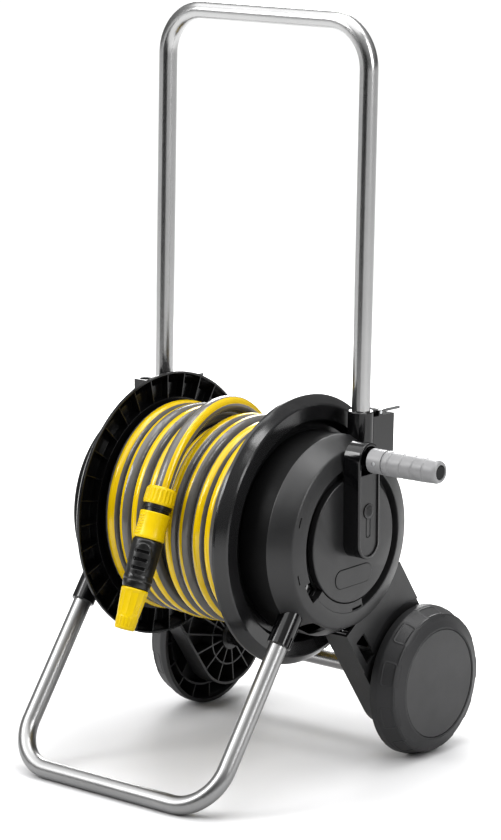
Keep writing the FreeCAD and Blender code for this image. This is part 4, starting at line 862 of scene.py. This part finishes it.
@dataclass
class Hose(SubAssembly):
    """Wound hose of 18 mm and its free end, as one length from the drum's outlet to the connector."""

    diameter: float = 18.0
    length: float = 20.0
    points_per_turn: int = 16
    outermost: float = 84.6
    layers: tuple[float, ...] = (62.3, 78.0, 93.6, 109.0)
    sides: int = 18
    # Turns wound when the hose reaches the end of the first, second and third layer.
    ends: tuple[float, ...] = (8.5, 17.9, 27.5)
    crossing: tuple[float, float] = (32.45, 32.95)
    crossing_x: float = 2.2
    # Facing of the broad stripe on successive turns, in turns of the hose.
    facing: tuple[float, ...] = (0.02, 0.47, -0.03, 0.03, 0.50, 0.0, 0.05, 0.46, -0.02)
    tail_facing: float = 0.16

    def wound_points(self) -> np.ndarray:
        """Control points of the wound turns.

        Formula: turns go round at an even rate while X runs from flange to flange and back; the radius steps
        up at each flange; the outer layer is wound from the right to the middle, crosses to the left flange
        low down at the back, and is wound to the middle again, rising where it passes over the crossing.

        Returns:
            Rows of (x from the middle, radius, angle above the front in degrees).
        """
        last = 37 - 39 / 360
        turns = np.arange(0, last, 1 / self.points_per_turn)
        climb = 0.4
        first, second, third = self.ends
        start, stop = self.crossing
        edge = self.outermost
        x = np.interp(
            turns,
            [0, first, first + climb, second, second + climb, third, third + climb, start, stop, last],
            [-72, edge, edge, -edge, -edge, edge, edge, self.crossing_x, -edge, TAIL[0][0]])
        radius = np.interp(
            turns, [0, first, first + climb, second, second + climb, third, third + climb, last],
            np.repeat(self.layers, 2))
        share = np.mod(turns, 1.0)
        under = self.crossing_x - (share - 0.45) / 0.5 * (self.crossing_x + edge)
        passes = (turns > stop) & (share > 0.42) & (share < 0.98)
        radius = radius + np.where(passes, hump(x - under, 14.5, 13.0), 0.0)
        outer = smooth_step(turns, third, third + 0.5)
        radius = radius + outer * (0.9 * np.sin(3.1 * turns) + 0.7 * np.sin(1.37 * turns + 1.0))
        wander = 0.9 * np.sin(2.17 * turns * FULL_TURN / 1.9)
        x = x + outer * smooth_step(edge - np.abs(x), 1.0, 12.0) * wander
        return np.stack([x, radius, 90 - 360 * turns], axis=-1)

    def route(self) -> np.ndarray:
        """Control points from the outlet to inside the nut, in metres."""
        rows = np.concatenate([self.wound_points(), np.array(TAIL, float)])
        angle = np.radians(rows[:, 2])
        local = np.stack([rows[:, 0], -rows[:, 1] * np.cos(angle), rows[:, 1] * np.sin(angle)], axis=-1)
        return np.concatenate([REEL.carry(local), HOSE_END.carry(np.array([[0.0, 0.0, 12.0]]))])

    def centre_line(self, route: np.ndarray) -> np.ndarray:
        """Smooth line near the control points, read from a NURBS spline.

        Args:
            route: Control points in metres.

        Returns:
            Points along the line.
        """
        curve = bpy.data.curves.new("hose_line", "CURVE")
        curve.dimensions = "3D"
        spline = curve.splines.new("NURBS")
        spline.points.add(len(route) - 1)
        spline.points.foreach_set("co", np.c_[route, np.ones(len(route))].ravel())
        spline.order_u = 3
        spline.use_endpoint_u = True
        spline.resolution_u = 4
        holder = put("hose_line", curve)
        graph = bpy.context.evaluated_depsgraph_get()
        line = bpy.data.meshes.new_from_object(holder.evaluated_get(graph))
        points = np.empty(len(line.vertices) * 3)
        line.vertices.foreach_get("co", points)
        bpy.data.objects.remove(holder)
        bpy.data.curves.remove(curve)
        bpy.data.meshes.remove(line)
        return points.reshape(-1, 3)

    def tube(self, line: np.ndarray) -> Object:
        """Round tube along the line, whose stripes keep their side of the drum but twist slowly.

        Formula: point = centre + r (cos(a) outward + sin(a) sideways), where outward points away from the
        drum axis and sideways is across the line.

        Args:
            line: Points along the hose.

        Returns:
            The tube.
        """
        run = np.gradient(line, axis=0)
        run /= np.linalg.norm(run, axis=1, keepdims=True)
        out = line - np.array([0.0, DRUM_Y * MM, DRUM_Z * MM])
        out[:, 0] = 0.0
        out -= run * np.sum(out * run, axis=1, keepdims=True)
        out /= np.linalg.norm(out, axis=1, keepdims=True)
        around = np.linspace(0, FULL_TURN, self.sides, endpoint=False)[None, :, None]
        ring = np.cos(around) * out[:, None, :] + np.sin(around) * np.cross(run, out)[:, None, :]
        tube = closed_surface("garden_hose", line[:, None, :] + self.diameter / 2 * MM * ring, sharp=80.0)
        along = np.concatenate([[0.0], np.cumsum(np.linalg.norm(np.diff(line, axis=0), axis=1))])
        step = 1 / self.sides
        turn = np.arange(self.sides) * step + self.twist(line)[:, None]
        here = np.stack(np.broadcast_arrays(turn, along[:, None]), axis=-1)
        beside = here + (step, 0.0)
        corner_uv = np.stack([here[:-1], beside[:-1], beside[1:], here[1:]], axis=2)
        values = np.zeros((len(tube.data.loops), 2))
        values[:corner_uv.size // 2] = corner_uv.reshape(-1, 2)
        tube.data.uv_layers.new(name="hose_uv").data.foreach_set("uv", values.ravel())
        return tube

    def twist(self, line: np.ndarray) -> np.ndarray:
        """Turn of the stripes away from the outward side, in whole turns of the hose.

        Formula: each wound turn has its own facing, and the hose rolls from one to the next at the back.

        Args:
            line: Points along the hose.

        Returns:
            One value for each point.
        """
        y = line[:, 1] - DRUM_Y * MM
        z = line[:, 2] - DRUM_Z * MM
        turns = (math.pi / 2 - np.unwrap(np.arctan2(z, -y))) / FULL_TURN + 0.2
        number = np.floor(turns).astype(int)
        facing = np.array(self.facing)
        share = smooth_step(turns - number, 0.66, 0.98)
        here = np.where(number > 36, self.tail_facing, facing[number % len(facing)])
        there = np.where(number > 35, self.tail_facing, facing[(number + 1) % len(facing)])
        return (1 - share) * here + share * there

    def build(self) -> None:
        route = self.route()
        line = self.centre_line(route)
        total = float(np.linalg.norm(np.diff(line, axis=0), axis=1).sum())
        log.info("Hose: %d control points, %.2f m long", len(route), total)
        tube = self.tube(line)
        self.keep(tube, HoseFinish(), "hose_coil", "hose_tail")


@dataclass
class Connector(SubAssembly):
    """Click connector and nozzle on the end of the hose, drawn along local Z from the nut."""

    columns: int = 192
    ladder_angle: float = 108.0
    panel_angle: float = 60.0
    facets: int = 12

    def around(self) -> np.ndarray:
        """Angles of the columns, in radians."""
        return np.linspace(0, FULL_TURN, self.columns, endpoint=False)

    def turn_from(self, angle: float) -> np.ndarray:
        """Angle of each column from a direction and its opposite, in degrees, from -90 to 90."""
        return (np.degrees(self.around()) - angle + 90.0) % 180.0 - 90.0

    def skin(self, name: str, profile: np.ndarray, bulge: np.ndarray, sharp: float = 60.0) -> Object:
        """Closed surface turned about the hose's end, from a profile and an extra radius."""
        rings = turned_rings(profile, self.around(), bulge)
        return closed_surface(name, HOSE_END.carry(rings), sharp=sharp)

    def nut(self) -> Object:
        """Ribbed union nut.

        Formula: radius = profile + 0.45 times a flattened wave of 22 ribs, between the two plain rims.
        """
        profile = eased_profile([
            (0.4, 9.4, 0), (0.0, 12.6, 0.5), (0.0, 13.6, 1.0), (2.4, 16.0, 1.2), (17.8, 16.6, 0.8),
            (19.5, 15.6, 0.6), (19.5, 14.7, 0)], 0.7)
        wave = np.clip(1.5 * np.cos(22 * self.around()), -1, 1)
        return self.skin("union_nut", profile, 0.45 * wave * window(profile[:, :1], 9.8, 6.6, 0.9))

    def collar(self) -> Object:
        """Sliding collar with a ladder of short bars on both sides.

        Formula: radius = profile + 0.85 in each bar, which is a window in station times a window in angle.
        """
        profile = eased_profile([
            (28.2, 14.0, 0), (28.0, 15.6, 0.4), (29.0, 16.8, 0.6), (34.0, 16.2, 3.0), (46.0, 15.9, 4.0),
            (55.5, 17.0, 1.2), (57.5, 15.9, 0.6), (57.4, 14.0, 0)], 0.45)
        bars = sum(window(profile[:, :1], centre, 0.9, 0.35) for centre in np.arange(33.0, 53.0, 3.1))
        ladder = window(self.turn_from(self.ladder_angle), 0.0, 17.0, 3.0)
        return self.skin("release_collar", profile, 0.85 * bars * ladder)

    def sleeve(self) -> Object:
        """Black nozzle sleeve with an oval pad and three slots across it, and two low rings below; the slots
        are painted near-black as shade.

        Formula: radius = profile + 0.7 inside an oval in station and angle - 2.6 in each slot. The faces in
        the slots take the second finish, a painted shade.
        """
        profile = eased_profile([
            (58.4, 13.0, 0), (58.0, 15.4, 0.5), (60.0, 16.6, 1.0), (64.0, 16.5, 2.0), (80.0, 16.0, 6.0),
            (97.0, 15.2, 3.0), (99.0, 15.7, 1.0), (107.0, 15.4, 1.0), (110.8, 14.6, 0.6),
            (110.8, 13.0, 0)], 0.5)
        station, turn = profile[:, :1], self.turn_from(self.panel_angle)
        oval = np.sqrt(((station - 81.0) / 18.5) ** 2 + (turn / 44.0) ** 2)
        bulge = 0.7 * (1 - smooth_step(oval, 0.92, 1.0)) - 0.5 * window(station, 103.0, 0.5, 0.3)
        for centre in (72.0, 81.0, 90.0):
            bulge = bulge - 2.6 * window(station, centre, 1.5, 0.5) * window(turn, 0.0, 27.0, 3.0)
        piece = self.skin("nozzle_sleeve", profile, bulge)
        # Faces deep in the slots, which get painted shade.
        painted_shade_faces = (bulge[:-1] < -0.6) & (bulge[1:] < -0.6)
        painted_shade_faces &= np.roll(painted_shade_faces, -1, axis=1)
        index = np.zeros(len(piece.data.polygons), np.int32)
        index[:painted_shade_faces.size] = painted_shade_faces.ravel()
        piece.data.polygons.foreach_set("material_index", index)
        return piece

    def jet(self) -> Object:
        """Turning yellow jet: faceted cone, plain ring and fluted mouth.

        Formula: radius = profile times cos(pi/n) / cos(angle from the middle of a facet), faded in and out.
        """
        profile = eased_profile([
            (111.5, 12.0, 0), (111.4, 14.2, 0.4), (113.4, 14.9, 0.8), (118.0, 14.4, 1.5), (139.0, 12.3, 2.0),
            (141.5, 11.6, 0.8), (143.2, 11.9, 0.5), (154.5, 11.0, 0.8), (155.9, 9.8, 0.5), (155.9, 6.2, 0.5),
            (145.0, 4.6, 0)], 0.7)
        station, radius = profile[:, :1], profile[:, 1:]
        span = FULL_TURN / self.facets
        flat = math.cos(span / 2) / np.cos(np.mod(self.around(), span) - span / 2) - 1
        cone = 1.6 * flat * radius * window(station, 127.0, 12.5, 2.0) * smooth_step(radius, 10.5, 11.5)
        flutes = 0.5 * window(station, 148.5, 5.0, 1.0) * (np.cos(18 * self.around()) > 0.55)
        return self.skin("nozzle_jet", profile, cone - flutes * smooth_step(radius, 9.0, 10.5), 50.0)

    def build(self) -> None:
        """Build and dress the connector and the nozzle."""
        self.keep(self.nut(), BRIGHT_YELLOW, "connector_nut")
        self.dress(SLEEVE_BLACK, "connector_body")
        self.keep(self.collar(), BRIGHT_YELLOW, "connector_collar")
        sleeve = self.keep(self.sleeve(), SLEEVE_BLACK, "nozzle_body")
        # The second finish paints shade into the slots of the sleeve.
        sleeve.data.materials.append(PAINTED_SHADE_BLACK.material())
        self.keep(self.jet(), BRIGHT_YELLOW, "nozzle_tip")


# ---------------------------------------------------------------- studio

def aim(piece: Object, place: Vector, direction: Vector) -> None:
    """Place a lamp or camera and let it look along a direction."""
    piece.location = place
    piece.rotation_euler = direction.to_track_quat("-Z", "Y").to_euler()


@dataclass(frozen=True)
class Softbox:
    """Rectangular studio lamp that looks at the cart."""

    name: str
    place: tuple[float, float, float]
    size: tuple[float, float]
    power: float

    def build(self, target: Vector) -> None:
        """Place the lamp and turn it to the target."""
        lamp = bpy.data.lights.new(self.name, "AREA")
        lamp.shape = "RECTANGLE"
        lamp.size, lamp.size_y = self.size
        lamp.energy = self.power
        aim(put(self.name, lamp), Vector(self.place), target - Vector(self.place))


@dataclass(frozen=True)
class Studio:
    """Pale floor, soft light and the camera."""

    azimuth: float = 39.742
    elevation: float = 12.18
    distance: float = 3.588
    lens: float = 141.57
    target: tuple[float, float, float] = (-0.0272, 0.0081, 0.3772)
    # Distance and height of the black card, in metres, and the angles left of the camera that it spans.
    card_distance: float = 2.2
    card_height: float = 1.5
    card_span: tuple[float, float] = (72.0, 12.0)

    def camera(self) -> None:
        """Camera on a sphere round the target: azimuth from the front, elevation above the floor."""
        a, e = math.radians(self.azimuth), math.radians(self.elevation)
        back = Vector((math.sin(a) * math.cos(e), -math.cos(a) * math.cos(e), math.sin(e)))
        data = bpy.data.cameras.new("studio_camera")
        data.lens = self.lens
        data.sensor_width = 36.0
        data.clip_end = 100.0
        holder = put("studio_camera", data)
        aim(holder, Vector(self.target) + back * self.distance, -back)
        bpy.context.scene.camera = holder

    def floor(self) -> None:
        """Flat pale floor, 60 m across, with a painted shadow under the cart: greyer near the cart and paler
        away from it.
        """
        corners = np.array([[-30, -30, 0], [30, -30, 0], [30, 30, 0], [-30, 30, 0]], float)
        piece = mesh_piece("studio_floor", corners, [[0, 1, 2, 3]])
        recipe = Recipe(bpy.data.materials.new("pale_floor_painted_shadow"))
        # Painted shadow: grey near the cart fading to the pale floor colour within about 0.6 m.
        ends = {0: recipe.place(), 1: (-0.05, -0.05, 0.0)}
        far = recipe.add("ShaderNodeVectorMath", ends, operation="DISTANCE")
        share = recipe.ramp(far.outputs["Value"], 0.12, 0.62, kind="SMOOTHSTEP")
        colour = recipe.blend(share, (0.56, 0.56, 0.565, 1.0), (0.86, 0.86, 0.86, 1.0))
        piece.data.materials.append(recipe.surface(Base_Color=colour, Roughness=0.75, Specular_IOR_Level=0.2))

    def card(self) -> None:
        """Black card to the left of the camera, seen only in reflections, for a dark stripe on the tubes."""
        angles = np.radians(self.azimuth - np.linspace(*self.card_span, 9))
        foot = self.card_distance * np.stack([np.sin(angles), -np.cos(angles), np.zeros(9)], axis=-1)
        points = np.concatenate([foot, foot + (0, 0, self.card_height)])
        piece = mesh_piece("studio_flag", points, [[i, i + 1, i + 10, i + 9] for i in range(8)])
        recipe = Recipe(bpy.data.materials.new("flag_black"))
        black = recipe.surface(Base_Color=(0.0, 0.0, 0.0, 1.0), Roughness=1.0, Specular_IOR_Level=0.0)
        piece.data.materials.append(black)
        piece.visible_camera = piece.visible_shadow = piece.visible_diffuse = False

    def sky(self) -> World:
        """White backdrop that lights the cart from above and leaves the horizon dim."""
        recipe = Recipe(bpy.data.worlds.new("studio_world"), "Background")
        direction = recipe.add("ShaderNodeTexCoord").outputs["Generated"]
        height = recipe.add("ShaderNodeSeparateXYZ", {0: direction}).outputs["Z"]
        dim = recipe.ramp(height, -0.05, 0.75, 0.08, 0.65)
        seen = recipe.add("ShaderNodeLightPath").outputs["Is Camera Ray"]
        strength = recipe.add("ShaderNodeMix", {0: seen, 2: dim, 3: 1.0}).outputs[0]
        return recipe.surface(Color=(1.0, 1.0, 1.0, 1.0), Strength=strength)

    def light(self) -> None:
        """Even overhead light, softboxes left, right, above and behind, and a small one for the rims."""
        bpy.context.scene.world = self.sky()
        sun = bpy.data.lights.new("sky_light", "SUN")
        sun.energy = 1.75
        sun.angle = math.radians(70)
        put("sky_light", sun).rotation_euler = (math.radians(18), math.radians(-14), 0)
        target = Vector(self.target)
        for box in (
            Softbox("key_softbox", (-1.6, -2.4, 1.9), (1.1, 1.5), 42.0),
            Softbox("right_softbox", (2.3, -0.1, 1.5), (0.8, 1.4), 26.0),
            Softbox("top_softbox", (0.2, 0.5, 2.6), (1.8, 1.2), 26.0),
            Softbox("back_softbox", (-1.5, 1.9, 1.4), (0.8, 1.6), 30.0),
            Softbox("rim_softbox", (1.5, 0.1, 2.1), (0.55, 0.3), 5.0),
        ):
            box.build(target)

    def build(self) -> None:
        """Set up the camera, the floor, the card and the lights."""
        self.camera()
        self.floor()
        self.card()
        self.light()
        bpy.context.scene.view_settings.view_transform = "Standard"
        bpy.context.scene.view_settings.look = "Medium High Contrast"


def main() -> None:
    """Build the studio and the cart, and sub-assembly by sub-assembly."""
    logging.basicConfig(level=logging.INFO, format="%(message)s")
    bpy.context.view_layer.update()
    Studio().build()
    for part in (Connector(), Hose(), TubeFrame(), SideFrames(), Wheels(), Drum(), Crank(), WaterInlet()):
        part.build()
        log.info("%s: %d pieces", type(part).__name__, len(part.made))


if __name__ == "__main__":
    main()
